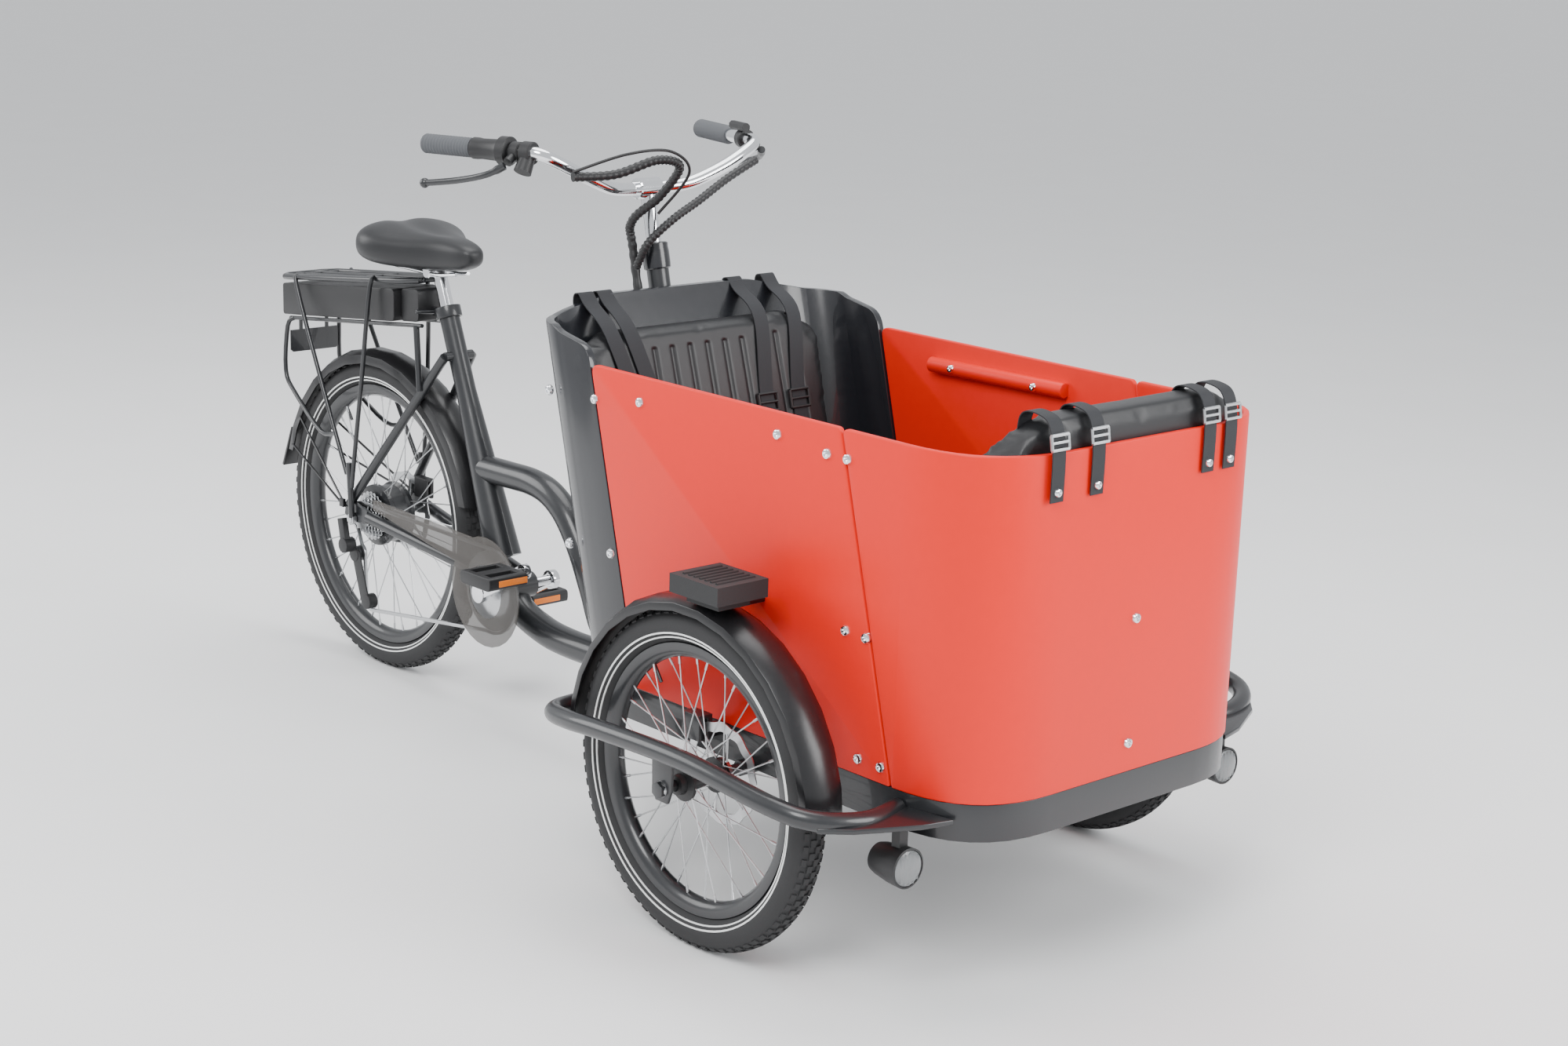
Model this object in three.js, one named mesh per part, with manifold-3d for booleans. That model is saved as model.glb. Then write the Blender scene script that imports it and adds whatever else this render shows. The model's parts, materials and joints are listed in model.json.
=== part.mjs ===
// Front-box cargo tricycle: a rear bicycle frame with a hub motor, and a steered box on two front wheels.
// Millimetres. +X is forward, +Y is to the rider's left, +Z is up. Stations along X are counted from the
// front axle; the finished group is moved so that its origin is under the middle of its own box.
import * as THREE from 'three';
import { mergeVertices } from 'three/addons/utils/BufferGeometryUtils.js';
import Module from 'manifold-3d';

const wasm = await Module();
wasm.setup();

// ---------- driving dimensions ----------
const ORIGIN_X = -661.65;
const FRONT = { x: 0, y: 417, z: 260, radius: 260, rimRadius: 204 };
const REAR = { x: -1444, z: 308, radius: 308, rimRadius: 254 };
const WHEEL_SIDES = 30;
const GAP = 0.35;

const BOX = { half: 320, front: 461, corner: 160, rear: -429, rearCorner: 100, skin: 9, wallSkin: 13 };
const BOX_FLOOR_Z = 312;
const BOX_TOP_Z = 809;
const LEAN = 0.257;
const SEAM_X = 300;
const PANEL_REAR_X = -268;
const RAIL = { bottom: 256, width: 30, inset: 2 };
const PIVOT_X = -250;

const CRANK = { x: -1016, z: 256, length: 150, angle: THREE.MathUtils.degToRad(28) };
const CHAIN_Y = -58;
const SEAT_TUBE = { low: [-1055, 0, 303], high: [-1238, 0, 749], lowRadius: 34, highRadius: 19 };
const DROPOUT_Y = 71;

const COLUMN = { x: -481, z: 312, topZ: 946, radius: 19, lean: 0.24 };
const STEM = { x: COLUMN.x - (1036 - COLUMN.z) * COLUMN.lean, z: 1036 };
const BAR_RADIUS = 11;
const GRIP_START = [-651, 235, 1105];
const GRIP_END = [-871, 301, 1104];

// ---------- materials ----------
const finish = (color, roughness, metalness = 0) => new THREE.MeshStandardMaterial({ color, roughness, metalness });
const RED_PANEL = finish(0xf2321c, 0.45);
const BLACK_PAINT = finish(0x1b1c1f, 0.4, 0.3);
const BLACK_PANEL = finish(0x222326, 0.35);
const BLACK_PLASTIC = finish(0x151515, 0.5);
const TYRE_RUBBER = finish(0x1c1c1d, 0.9);
const VINYL = finish(0x111214, 0.45);
const CHROME = finish(0xd8dadd, 0.12, 1);
const STEEL = finish(0xa9abad, 0.35, 1);
const GRIP_RUBBER = finish(0x55585c, 0.8);
const SMOKED = finish(0x6f6a64, 0.2);
const RED_LENS = finish(0xb81414, 0.2);
const PLYWOOD = finish(0x2a2a2b, 0.6);

// ---------- solids ----------
function toSolid(geometry) {
  geometry.deleteAttribute('normal');
  geometry.deleteAttribute('uv');
  const merged = mergeVertices(geometry, 1e-3);
  const triVerts = Uint32Array.from(merged.index.array);
  const vertProperties = Float32Array.from(merged.attributes.position.array);
  const solid = new wasm.Manifold(new wasm.Mesh({ numProp: 3, vertProperties, triVerts }));
  if (solid.volume() > 0) return solid;
  for (let i = 0; i < triVerts.length; i += 3) {
    [triVerts[i], triVerts[i + 1]] = [triVerts[i + 1], triVerts[i]];
  }
  return new wasm.Manifold(new wasm.Mesh({ numProp: 3, vertProperties, triVerts }));
}

function toGeometry(solid) {
  const { vertProperties, triVerts } = solid.getMesh();
  const geometry = new THREE.BufferGeometry();
  geometry.setAttribute('position', new THREE.BufferAttribute(vertProperties, 3));
  geometry.setIndex(new THREE.BufferAttribute(triVerts, 1));
  return geometry;
}

const join = (...solids) => solids.reduce((whole, solid) => whole.add(solid));
const cut = (solid, ...tools) => tools.reduce((whole, tool) => whole.subtract(tool), solid);
const vec = (point) => new THREE.Vector3(...point);
const between = (a, b, t) => a.map((value, i) => value + (b[i] - value) * t);
const mirrorY = (points) => points.map(([x, y, z]) => [x, -y, z]);

// A round rod or cone between two points.
function rod(from, to, radius, sides = 8, endRadius = radius) {
  const a = vec(from);
  const b = vec(to);
  const geometry = new THREE.CylinderGeometry(endRadius, radius, a.distanceTo(b), sides);
  const turn = new THREE.Quaternion().setFromUnitVectors(vec([0, 1, 0]), b.clone().sub(a).normalize());
  geometry.applyQuaternion(turn);
  geometry.translate(...a.add(b).multiplyScalar(0.5).toArray());
  return toSolid(geometry);
}

// A rectangular bar between two points; `tall` lies in the vertical plane and `wide` along Y.
function bar(from, to, tall, wide) {
  const a = vec(from);
  const b = vec(to);
  const along = b.clone().sub(a);
  const geometry = new THREE.BoxGeometry(along.length(), wide, tall);
  along.normalize();
  const up = new THREE.Vector3().crossVectors(along, vec([0, 1, 0])).normalize();
  const across = new THREE.Vector3().crossVectors(up, along);
  geometry.applyMatrix4(new THREE.Matrix4().makeBasis(along, across, up));
  geometry.translate(...a.add(b).multiplyScalar(0.5).toArray());
  return toSolid(geometry);
}

// A box given by its lowest and highest corner.
function block(low, high) {
  const size = high.map((value, i) => value - low[i]);
  const geometry = new THREE.BoxGeometry(...size);
  geometry.translate(...between(low, high, 0.5));
  return toSolid(geometry);
}

// A round tube along a smooth curve through the points.
function pipe(points, radius, sides, steps, closed = false) {
  const section = new THREE.Shape();
  for (let i = 0; i < sides; i += 1) {
    const angle = (i / sides) * Math.PI * 2;
    const place = [radius * Math.cos(angle), radius * Math.sin(angle)];
    if (i === 0) section.moveTo(...place);
    else section.lineTo(...place);
  }
  const extrudePath = new THREE.CatmullRomCurve3(points.map(vec), closed, 'centripetal');
  return toSolid(new THREE.ExtrudeGeometry(section, { steps, extrudePath, bevelEnabled: false }));
}

// A solid of revolution about the Y axis line through (x, z); profile points are [radius, y].
// Half a step of turn puts a flat side straight down.
function turned(profile, x, z, sides = WHEEL_SIDES) {
  const stretch = 1 / Math.cos(Math.PI / sides);
  const points = profile.map(([radius, y]) => new THREE.Vector2(radius * stretch, y));
  const geometry = new THREE.LatheGeometry(points, sides, Math.PI / sides);
  geometry.translate(x, 0, z);
  return toSolid(geometry);
}

// A ring profile that closes on itself.
const ring = (profile) => [...profile, profile[0]];

// A flat shape with rounded corners, from a list of [a, b] or [a, b, radius].
function roundedShape(corners, cornerRadius = 0) {
  const shape = new THREE.Shape();
  corners.forEach(([a, b, own], i) => {
    const corner = new THREE.Vector2(a, b);
    const before = new THREE.Vector2(...corners.at(i - 1).slice(0, 2));
    const after = new THREE.Vector2(...corners[(i + 1) % corners.length].slice(0, 2));
    const radius = own ?? cornerRadius;
    const toBefore = before.sub(corner).normalize();
    const toAfter = after.sub(corner).normalize();
    const half = Math.acos(THREE.MathUtils.clamp(toBefore.dot(toAfter), -1, 1)) / 2;
    const reach = radius / Math.tan(half);
    const start = corner.clone().addScaledVector(toBefore, reach);
    const end = corner.clone().addScaledVector(toAfter, reach);
    if (i === 0) shape.moveTo(start.x, start.y);
    else shape.lineTo(start.x, start.y);
    if (radius > 0) shape.quadraticCurveTo(corner.x, corner.y, end.x, end.y);
  });
  shape.closePath();
  return shape;
}

// Extrudes a shape drawn in the XY plane upward from z.
function standing(shape, z, height, curveSegments = 8) {
  const geometry = new THREE.ExtrudeGeometry(shape, { depth: height, curveSegments, bevelEnabled: false });
  geometry.translate(0, 0, z);
  return toSolid(geometry);
}

// Extrudes a shape drawn in the XZ plane along Y, from y to y + width.
function sideways(shape, y, width, curveSegments = 6) {
  const geometry = new THREE.ExtrudeGeometry(shape, { depth: width, curveSegments, bevelEnabled: false });
  geometry.rotateX(Math.PI / 2);
  geometry.translate(0, y + width, 0);
  return toSolid(geometry);
}

// Extrudes a shape drawn in the YZ plane along X, from x to x + depth.
function facing(shape, x, depth, curveSegments = 6) {
  const geometry = new THREE.ExtrudeGeometry(shape, { depth, curveSegments, bevelEnabled: false });
  geometry.rotateX(Math.PI / 2);
  geometry.rotateZ(Math.PI / 2);
  geometry.translate(x, 0, 0);
  return toSolid(geometry);
}

// ---------- the tricycle ----------
const tricycle = new THREE.Group();
tricycle.position.x = -ORIGIN_X;

function piece(name, solid, material) {
  const mesh = new THREE.Mesh(toGeometry(solid), material);
  mesh.name = name;
  tricycle.add(mesh);
}

// ---------- wheels ----------
function tyre(wheel, y, halfWidth) {
  const { radius, rimRadius } = wheel;
  const profile = [[rimRadius, -12], [radius - 28, -halfWidth], [radius, -15], [radius, 15],
    [radius - 28, halfWidth], [rimRadius, 12]];
  return turned(ring(profile.map(([r, side]) => [r, y + side])), wheel.x, wheel.z);
}

function rim(wheel, y) {
  const outer = wheel.rimRadius - GAP;
  const profile = [[outer, -15], [outer - 20, -9], [outer - 20, 9], [outer, 15]];
  return turned(ring(profile.map(([r, side]) => [r, y + side])), wheel.x, wheel.z);
}

// A hub with its laced spokes. Spokes leave the two flanges in turn, leaning forward and back.
function laced(wheel, y, hubProfile, flange, spokeCount, lead) {
  const hub = turned(ring(hubProfile.map(([r, side]) => [r, y + side])), wheel.x, wheel.z, 12);
  const rimInside = wheel.rimRadius - GAP - 20.5;
  const spokes = Array.from({ length: spokeCount }, (_, i) => {
    const side = i % 2 ? 1 : -1;
    const lean = i % 4 < 2 ? lead : -lead;
    const angle = (i / spokeCount) * Math.PI * 2;
    const at = (r, a, offset) => [wheel.x + r * Math.cos(a), y + offset, wheel.z + r * Math.sin(a)];
    const from = at(flange.radius, angle + lean, side * flange.y);
    return rod(from, at(rimInside, angle, side * 3), 1.4, 3);
  });
  return join(hub, ...spokes);
}

// A brake disc on its hub boss.
function disc(wheel, y, bore) {
  return turned(ring([[bore, y - 1], [80, y - 1], [80, y + 1], [bore, y + 1]]), wheel.x, wheel.z, 16);
}

const AXLE_BORE = 8.4;
for (const [name, side] of [['right', -1], ['left', 1]]) {
  const y = side * FRONT.y;
  const inner = -side;
  const hubProfile = [[AXLE_BORE, -50], [14, -50], [14, -34], [28, -32], [28, -28], [16, -24], [16, 24], [28, 28],
    [28, 32], [21, 34], [21, 50], [AXLE_BORE, 50]].map(([r, offset]) => [r, offset * inner]);
  piece(`front_tyre_${name}`, tyre(FRONT, y, 28), TYRE_RUBBER);
  piece(`front_rim_${name}`, rim(FRONT, y), BLACK_PAINT);
  piece(`front_hub_spokes_${name}`, laced(FRONT, y, hubProfile, { radius: 26, y: 30 }, 16, 0.35), STEEL);
  piece(`front_brake_disc_${name}`, disc(FRONT, y + inner * 43, 21 + 3 * GAP), STEEL);
}

function rearWheel() {
  const motor = [[AXLE_BORE, -34], [30, -34], [44, -32], [60, -28], [60, 28], [40, 32], [24, 34], [24, 56],
    [AXLE_BORE, 56]];
  piece('rear_tyre', tyre(REAR, 0, 27), TYRE_RUBBER);
  piece('rear_rim', rim(REAR, 0), BLACK_PAINT);
  piece('rear_hub_motor', laced(REAR, 0, motor, { radius: 58, y: 26 }, 16, 0.2), BLACK_PAINT);
  piece('rear_brake_disc', disc(REAR, 47, 24 + 3 * GAP), STEEL);
  const cogs = [[AXLE_BORE, -63], [25, -63], [25, -54], [34, -52], [40, -46], [48, -40], [48, -35], [AXLE_BORE, -35]];
  piece('rear_sprockets', turned(ring(cogs), REAR.x, REAR.z, 16), STEEL);
}
rearWheel();

// ---------- rear frame ----------
const seatTubeAt = (t) => between(SEAT_TUBE.low, SEAT_TUBE.high, t);
const crankPoint = (y, turn) => [
  CRANK.x + CRANK.length * Math.cos(CRANK.angle + turn), y, CRANK.z + CRANK.length * Math.sin(CRANK.angle + turn)];

function mainFrame() {
  const seatTube = rod(SEAT_TUBE.low, SEAT_TUBE.high, SEAT_TUBE.lowRadius, 16, SEAT_TUBE.highRadius);
  const upper = pipe([[-1125, 0, 462], [-1038, 0, 464], [-965, 0, 464], [-910, 0, 452], [-862, 0, 420], [-820, 0, 365],
    [-785, 0, 300], [-755, 0, 240], [-700, 0, 193]], 25, 10, 14);
  const collar = rod([-1108, 0, 463], [-1040, 0, 464], 33, 12, 26);
  const lower = pipe([[-1034, 0, 258], [-1004, 0, 217], [-938, 0, 194], [-860, 0, 185], [-700, 0, 186],
    [PIVOT_X - 20, 0, 188]], 27, 10, 10);
  const head = rod([PIVOT_X, 0, 158], [PIVOT_X, 0, 246], 32, 16);
  const shell = rod([CRANK.x, -34, CRANK.z], [CRANK.x, 34, CRANK.z], 23, 16);
  const stays = [-1, 1].flatMap((side) => [
    bar([-1202, side * 31, 662], [-1466, side * DROPOUT_Y, 333], 30, 11),
    bar([-1040, side * 34, 270], [-1400, side * DROPOUT_Y, 318], 32, 13),
    bar([-1390, side * DROPOUT_Y, 317], [-1474, side * DROPOUT_Y, 324], 40, 9),
  ]);
  const bridge = rod([-1202, -36, 660], [-1202, 36, 660], 12, 10);
  const yoke = rod([-1052, -40, 272], [-1052, 40, 272], 15, 10);
  const solid = join(seatTube, upper, collar, lower, head, shell, ...stays, bridge, yoke);
  return cut(solid,
    rod(seatTubeAt(0.55), between(SEAT_TUBE.low, SEAT_TUBE.high, 1.1), 14, 12),
    rod([CRANK.x, -60, CRANK.z], [CRANK.x, 60, CRANK.z], 10, 12),
    rod([PIVOT_X, 0, 100], [PIVOT_X, 0, 300], 18, 16),
    rod([REAR.x, -90, REAR.z], [REAR.x, 90, REAR.z], AXLE_BORE, 12));
}
piece('main_frame', mainFrame(), BLACK_PAINT);

function rearAxle() {
  const shaft = rod([REAR.x, -88, REAR.z], [REAR.x, 88, REAR.z], 8, 12);
  const nuts = [-1, 1].map((side) => rod([REAR.x, side * 76.5, REAR.z], [REAR.x, side * 86, REAR.z], 12, 6));
  return join(shaft, ...nuts);
}
piece('rear_axle', rearAxle(), STEEL);

// Calipers straddle their disc with a slot that is a little wider than it.
function caliper(x, y, z, halfY) {
  return cut(block([x - 20, y - halfY, z - 14], [x + 20, y + halfY, z + 26]),
    block([x - 30, y - 2.5, z - 20], [x + 30, y + 2.5, z + 20]));
}
piece('rear_brake_caliper', caliper(-1384, 47, 360, 10), BLACK_PLASTIC);

// A fender is the upper part of a rounded channel that follows the tyre.
function channel(wheel, y, halfWidth, crown, skirt, bottomZ) {
  const outer = [[skirt, -halfWidth], [crown - 10, -halfWidth + 2], [crown, -halfWidth * 0.4],
    [crown, halfWidth * 0.4], [crown - 10, halfWidth - 2], [skirt, halfWidth]];
  const inner = outer.map(([r, side]) => [r - (r > skirt ? 3 : 0), side * (1 - 3 / halfWidth)]).reverse();
  const profile = ring([...outer, ...inner].map(([r, side]) => [r, y + side]));
  const whole = turned(profile, wheel.x, wheel.z);
  return cut(whole, block([wheel.x - 400, y - 60, -100], [wheel.x + 400, y + 60, bottomZ]));
}

function rearFender() {
  const stays = [-1, 1].flatMap((side) => [
    rod([-1706, side * 33, 461], [-1478, side * 80, 338], 2.5, 6),
    rod([-1734, side * 33, 398], [-1478, side * 80, 330], 2.5, 6),
  ]);
  const flap = bar([-1746, 0, 430], [-1782, 0, 346], 5, 56);
  const eyelets = [-1, 1].map((side) => block([-1486, side * 80 - 3, 326], [-1472, side * 80 + 3, 342]));
  return join(channel(REAR, 0, 34, 326, 299, 385), ...stays, ...eyelets, flap);
}
piece('rear_fender', rearFender(), BLACK_PLASTIC);

function seatClamp() {
  const sleeve = cut(rod(seatTubeAt(0.955), seatTubeAt(0.999), 25, 16), rod(seatTubeAt(0.8), seatTubeAt(1.2), 19.9, 16));
  const lug = block([-1275, -8, 728], [-1257, 8, 744]);
  const lever = rod([-1266, -8, 736], [-1268, -50, 740], 4, 8);
  return join(sleeve, lug, lever);
}
piece('seat_clamp', seatClamp(), BLACK_PAINT);

// ---------- seat post and saddle ----------
function seatPost() {
  const tube = rod(seatTubeAt(0.62), [-1266, 0, 817], 13.2, 14);
  const clamp = rod([-1270, -26, 812], [-1270, 26, 812], 13, 12);
  const rails = [-1, 1].map((side) => rod([-1350, side * 24, 811], [-1190, side * 20, 817], 4, 6));
  return join(tube, clamp, ...rails);
}
piece('seat_post', seatPost(), CHROME);

// The saddle is a plain padded block: wide behind, narrow at the nose.
function saddle() {
  const plan = roundedShape([[-1414, -80, 40], [-1356, -114, 40], [-1236, -54, 50], [-1142, -30, 26],
    [-1142, 30, 26], [-1236, 54, 50], [-1356, 114, 40], [-1414, 80, 40]]);
  const side = roundedShape([[-1422, 830, 10], [-1406, 896, 26], [-1330, 900, 30], [-1236, 884, 30],
    [-1136, 872, 12], [-1138, 842, 10], [-1260, 826, 20], [-1380, 824, 10]]);
  return standing(plan, 815, 110, 6).intersect(sideways(side, -150, 300, 4));
}
piece('saddle', saddle(), VINYL);

// ---------- rear rack, battery and controller ----------
const DECK_SLOPE = 0.108;
const deckZ = (x) => 768 + (x + 1530) * DECK_SLOPE;

function rearRack() {
  const onDeck = (x, y, drop = 0) => [x, y, deckZ(x) - drop];
  const half = [[-1290, 30], [-1330, 44], [-1450, 55], [-1600, 62], [-1706, 62], [-1732, 40]];
  const outline = [...half.map(([x, y]) => onDeck(x, -y)), ...half.toReversed().map(([x, y]) => onDeck(x, y))];
  const slats = [-20, 20].map((y) => rod(onDeck(-1732, y), onDeck(-1284, y), 4, 6));
  const lowerDeck = [-1, 1].map((side) => rod(onDeck(-1704, side * 56, 84), onDeck(-1262, side * 40, 84), 4, 6));
  const crossBars = [-1699, -1480, -1275].map((x) => rod(onDeck(x, -58, 84), onDeck(x, 58, 84), 4, 6));
  const legs = [-1, 1].flatMap((side) => [
    pipe([onDeck(-1655, side * 60), onDeck(-1656, side * 68, 14), [-1560, side * 76, 570], [-1456, side * 84, 396]],
      4.5, 6, 5),
    pipe([onDeck(-1400, side * 50), onDeck(-1398, side * 66, 10), [-1412, side * 76, 600], [-1440, side * 84, 372]],
      4.5, 6, 5),
    pipe([onDeck(-1690, side * 52, 84), onDeck(-1703, side * 60, 100), [-1706, side * 64, 560],
      [-1668, side * 67, 520], [-1560, side * 76, 462], [-1500, side * 80.5, 470]], 4, 6, 7),
    rod([-1448, side * 84, 420], [-1440, side * 84, 362], 6, 8),
    rod(onDeck(-1280, side * 41, 84), [-1256, side * 50.5, 590], 4, 8),
  ]);
  const rearPlate = block([-1704, -54, 596], [-1699, 54, 640]);
  const hangers = [-40, 40].map((y) => block([-1702, y - 5, 630], [-1697, y + 5, deckZ(-1700) - 82]));
  const fenderTab = block([-1488, -14, 640.5], [-1472, 14, deckZ(-1480) - 84]);
  return join(pipe(outline, 6, 6, 24, true), ...slats, ...lowerDeck, ...crossBars, ...legs, rearPlate, ...hangers,
    fenderTab);
}
piece('rear_rack', rearRack(), BLACK_PAINT);

// The battery and its lamp slide out along the sloping deck.
function deckBlock(rearX, frontX, halfWidth, top, bottom, radius) {
  const onSlope = (x, drop, corner) => [x, deckZ(x) - drop, corner];
  const profile = roundedShape([onSlope(rearX, bottom, radius), onSlope(frontX, bottom, radius * 2),
    onSlope(frontX, top, radius * 2), onSlope(rearX, top, radius)]);
  return sideways(profile, -halfWidth, 2 * halfWidth, 3);
}
piece('battery', deckBlock(-1736, -1342, 50, 15, 78, 6), BLACK_PLASTIC);
piece('tail_light', deckBlock(-1747, -1736.5, 24, 32, 58, 2), RED_LENS);
piece('controller_box', deckBlock(-1336, -1281, 36, 16, 78, 5), BLACK_PLASTIC);

// ---------- drive ----------
function crankArm(side) {
  const turn = side < 0 ? 0 : Math.PI;
  const hubCentre = [CRANK.x, side * 81, CRANK.z];
  const tip = crankPoint(side * 81, turn);
  const arm = bar(hubCentre, tip, 24, 12);
  const boss = rod([CRANK.x, side * 75, CRANK.z], [CRANK.x, side * 89, CRANK.z], 18, 14);
  const eye = rod([tip[0], side * 75, tip[2]], [tip[0], side * 87, tip[2]], 14, 12);
  return join(arm, boss, eye);
}
piece('crank_arm_right', crankArm(-1), BLACK_PAINT);
const spindle = rod([CRANK.x, -75 + GAP, CRANK.z], [CRANK.x, 80, CRANK.z], 9, 12);
piece('crank_arm_left', join(crankArm(1), spindle), BLACK_PAINT);
piece('chainring', turned(ring([[9.4, -60], [75, -60], [75, -56], [9.4, -56]]), CRANK.x, CRANK.z, 32), BLACK_PAINT);

function pedal(side) {
  const [x, , z] = crankPoint(0, side < 0 ? 0 : Math.PI);
  const outline = roundedShape([[x - 45, z - 12, 8], [x + 45, z - 12, 8], [x + 45, z + 12, 8], [x - 45, z + 12, 8]]);
  const body = sideways(outline, side < 0 ? -190 : 106, 84, 3);
  const well = sideways(roundedShape([[x - 32, z - 20], [x - 12, z - 20], [x - 12, z + 20], [x - 32, z + 20]]),
    side < 0 ? -178 : 118, 60);
  const farWell = sideways(roundedShape([[x + 12, z - 20], [x + 32, z - 20], [x + 32, z + 20], [x + 12, z + 20]]),
    side < 0 ? -178 : 118, 60);
  const axle = rod([x, side * 87.4, z], [x, side * 110, z], 7, 10);
  return join(cut(body, well, farWell), axle);
}
piece('pedal_right', pedal(-1), BLACK_PLASTIC);
piece('pedal_left', pedal(1), BLACK_PLASTIC);

// Points on an arc in the XZ plane, angles in degrees.
function arc([x, z], radius, from, to, steps) {
  return Array.from({ length: steps + 1 }, (_, i) => {
    const angle = THREE.MathUtils.degToRad(from + ((to - from) * i) / steps);
    return [x + radius * Math.cos(angle), z + radius * Math.sin(angle)];
  });
}

const UPPER_PULLEY = [-1452, 234];
const LOWER_PULLEY = [-1411, 146];
const chainLoop = (offset) => [
  ...arc([CRANK.x, CRANK.z], 79.5 + offset, -98, 90, 12),
  ...arc([REAR.x, REAR.z], 30 + offset, 86, 245, 6),
  ...arc(UPPER_PULLEY, 19 - offset, 65, -20, 4),
  ...arc(LOWER_PULLEY, 19 + offset, 170, 278, 5),
];

function chain() {
  const outline = new THREE.Shape(chainLoop(3).map(([x, z]) => new THREE.Vector2(x, z)));
  outline.holes.push(new THREE.Path(chainLoop(-3).map(([x, z]) => new THREE.Vector2(x, z))));
  return sideways(outline, CHAIN_Y - 3, 6);
}
piece('chain', chain(), STEEL);

function derailleur() {
  const [ux, uz] = UPPER_PULLEY;
  const [lx, lz] = LOWER_PULLEY;
  const cage = sideways(roundedShape([[ux - 14, uz + 16, 10], [ux + 16, uz + 10, 10], [lx + 14, lz - 12, 10],
    [lx - 14, lz - 12, 10]]), -72, 3);
  const pulleys = [UPPER_PULLEY, LOWER_PULLEY].map(([x, z]) => rod([x, -73, z], [x, -54, z], 15, 14));
  const body = rod([-1462, -92, 252], [-1462, -69, 252], 15, 12);
  const link = bar([-1462, -84, 252], [-1474, -84, 304], 18, 12);
  return join(cage, ...pulleys, body, link);
}
piece('derailleur', derailleur(), BLACK_PAINT);

function chainGuard() {
  const disk = rod([CRANK.x, -72.5, CRANK.z], [CRANK.x, -69.5, CRANK.z], 104, 28);
  const arm = sideways(roundedShape([[-1040, 352, 12], [-1385, 358, 9], [-1385, 337, 8], [-1090, 292, 8]]), -72.5, 3);
  const open = rod([CRANK.x, -80, CRANK.z], [CRANK.x, -60, CRANK.z], 50, 24);
  return cut(join(disk, arm), open);
}
piece('chain_guard', chainGuard(), SMOKED);

// ---------- cargo box ----------
// Plan of the box at the floor, moved inward by `inset`. Only the front corners are large.
function boxPlan(inset, rearX, rearRadius) {
  const half = BOX.half - inset;
  return roundedShape([[rearX + inset, -half, rearRadius - inset], [BOX.front - inset, -half, BOX.corner - inset],
    [BOX.front - inset, half, BOX.corner - inset], [rearX + inset, half, rearRadius - inset]]);
}

const leanX = (x, z) => x - (z - BOX_FLOOR_Z) * LEAN;

// The straight-sided shell that the side panels and the front panel are cut from.
const shell = cut(standing(boxPlan(0, -700, 100), BOX_FLOOR_Z, BOX_TOP_Z - BOX_FLOOR_Z, 10),
  standing(boxPlan(BOX.skin, -700, 100), 0, 1000, 10));

function sidePanel(side) {
  const outline = roundedShape([[PANEL_REAR_X, BOX_FLOOR_Z, 3], [SEAM_X - 2, BOX_FLOOR_Z, 3],
    [leanX(SEAM_X - 2, BOX_TOP_Z), BOX_TOP_Z, 10], [leanX(PANEL_REAR_X, BOX_TOP_Z), BOX_TOP_Z, 14]]);
  return shell.intersect(sideways(outline, side < 0 ? -400 : 0, 400));
}

function frontPanel() {
  const outline = roundedShape([[SEAM_X + 2, BOX_FLOOR_Z, 3], [600, BOX_FLOOR_Z], [600, BOX_TOP_Z],
    [leanX(SEAM_X + 2, BOX_TOP_Z), BOX_TOP_Z, 10]]);
  return shell.intersect(sideways(outline, -400, 800));
}
piece('side_panel_right', sidePanel(-1), RED_PANEL);
piece('side_panel_left', sidePanel(1), RED_PANEL);
piece('front_panel', frontPanel(), RED_PANEL);

// The plan of the box carried up along the lean of its rear wall.
function leaningBlock(inset) {
  const lean = [1, 0, 0, 0, 0, 1, 0, 0, -LEAN, 0, 1, 0, LEAN * BOX_FLOOR_Z, 0, 0, 1];
  return standing(boxPlan(inset, BOX.rear, BOX.rearCorner), BOX_FLOOR_Z, 620, 8).transform(lean);
}

// The rear wall is one bent board: it leans back, wraps round both rear corners and is highest in the middle.
function rearWall() {
  const sideView = roundedShape([[-900, BOX_FLOOR_Z], [PANEL_REAR_X - 2, BOX_FLOOR_Z], [leanX(PANEL_REAR_X - 2, 834), 834, 40],
    [-480, 848, 60], [-560, 882, 30], [-900, 882]]);
  const rearView = roundedShape([[-400, 300], [400, 300], [400, 850, 20], [270, 858, 80], [150, 882, 200], [-150, 882, 200],
    [-270, 858, 80], [-400, 850, 20]]);
  return cut(leaningBlock(0), leaningBlock(BOX.wallSkin)).intersect(sideways(sideView, -400, 800)).intersect(facing(rearView, -900, 1000));
}
piece('rear_wall', rearWall(), BLACK_PANEL);

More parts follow.
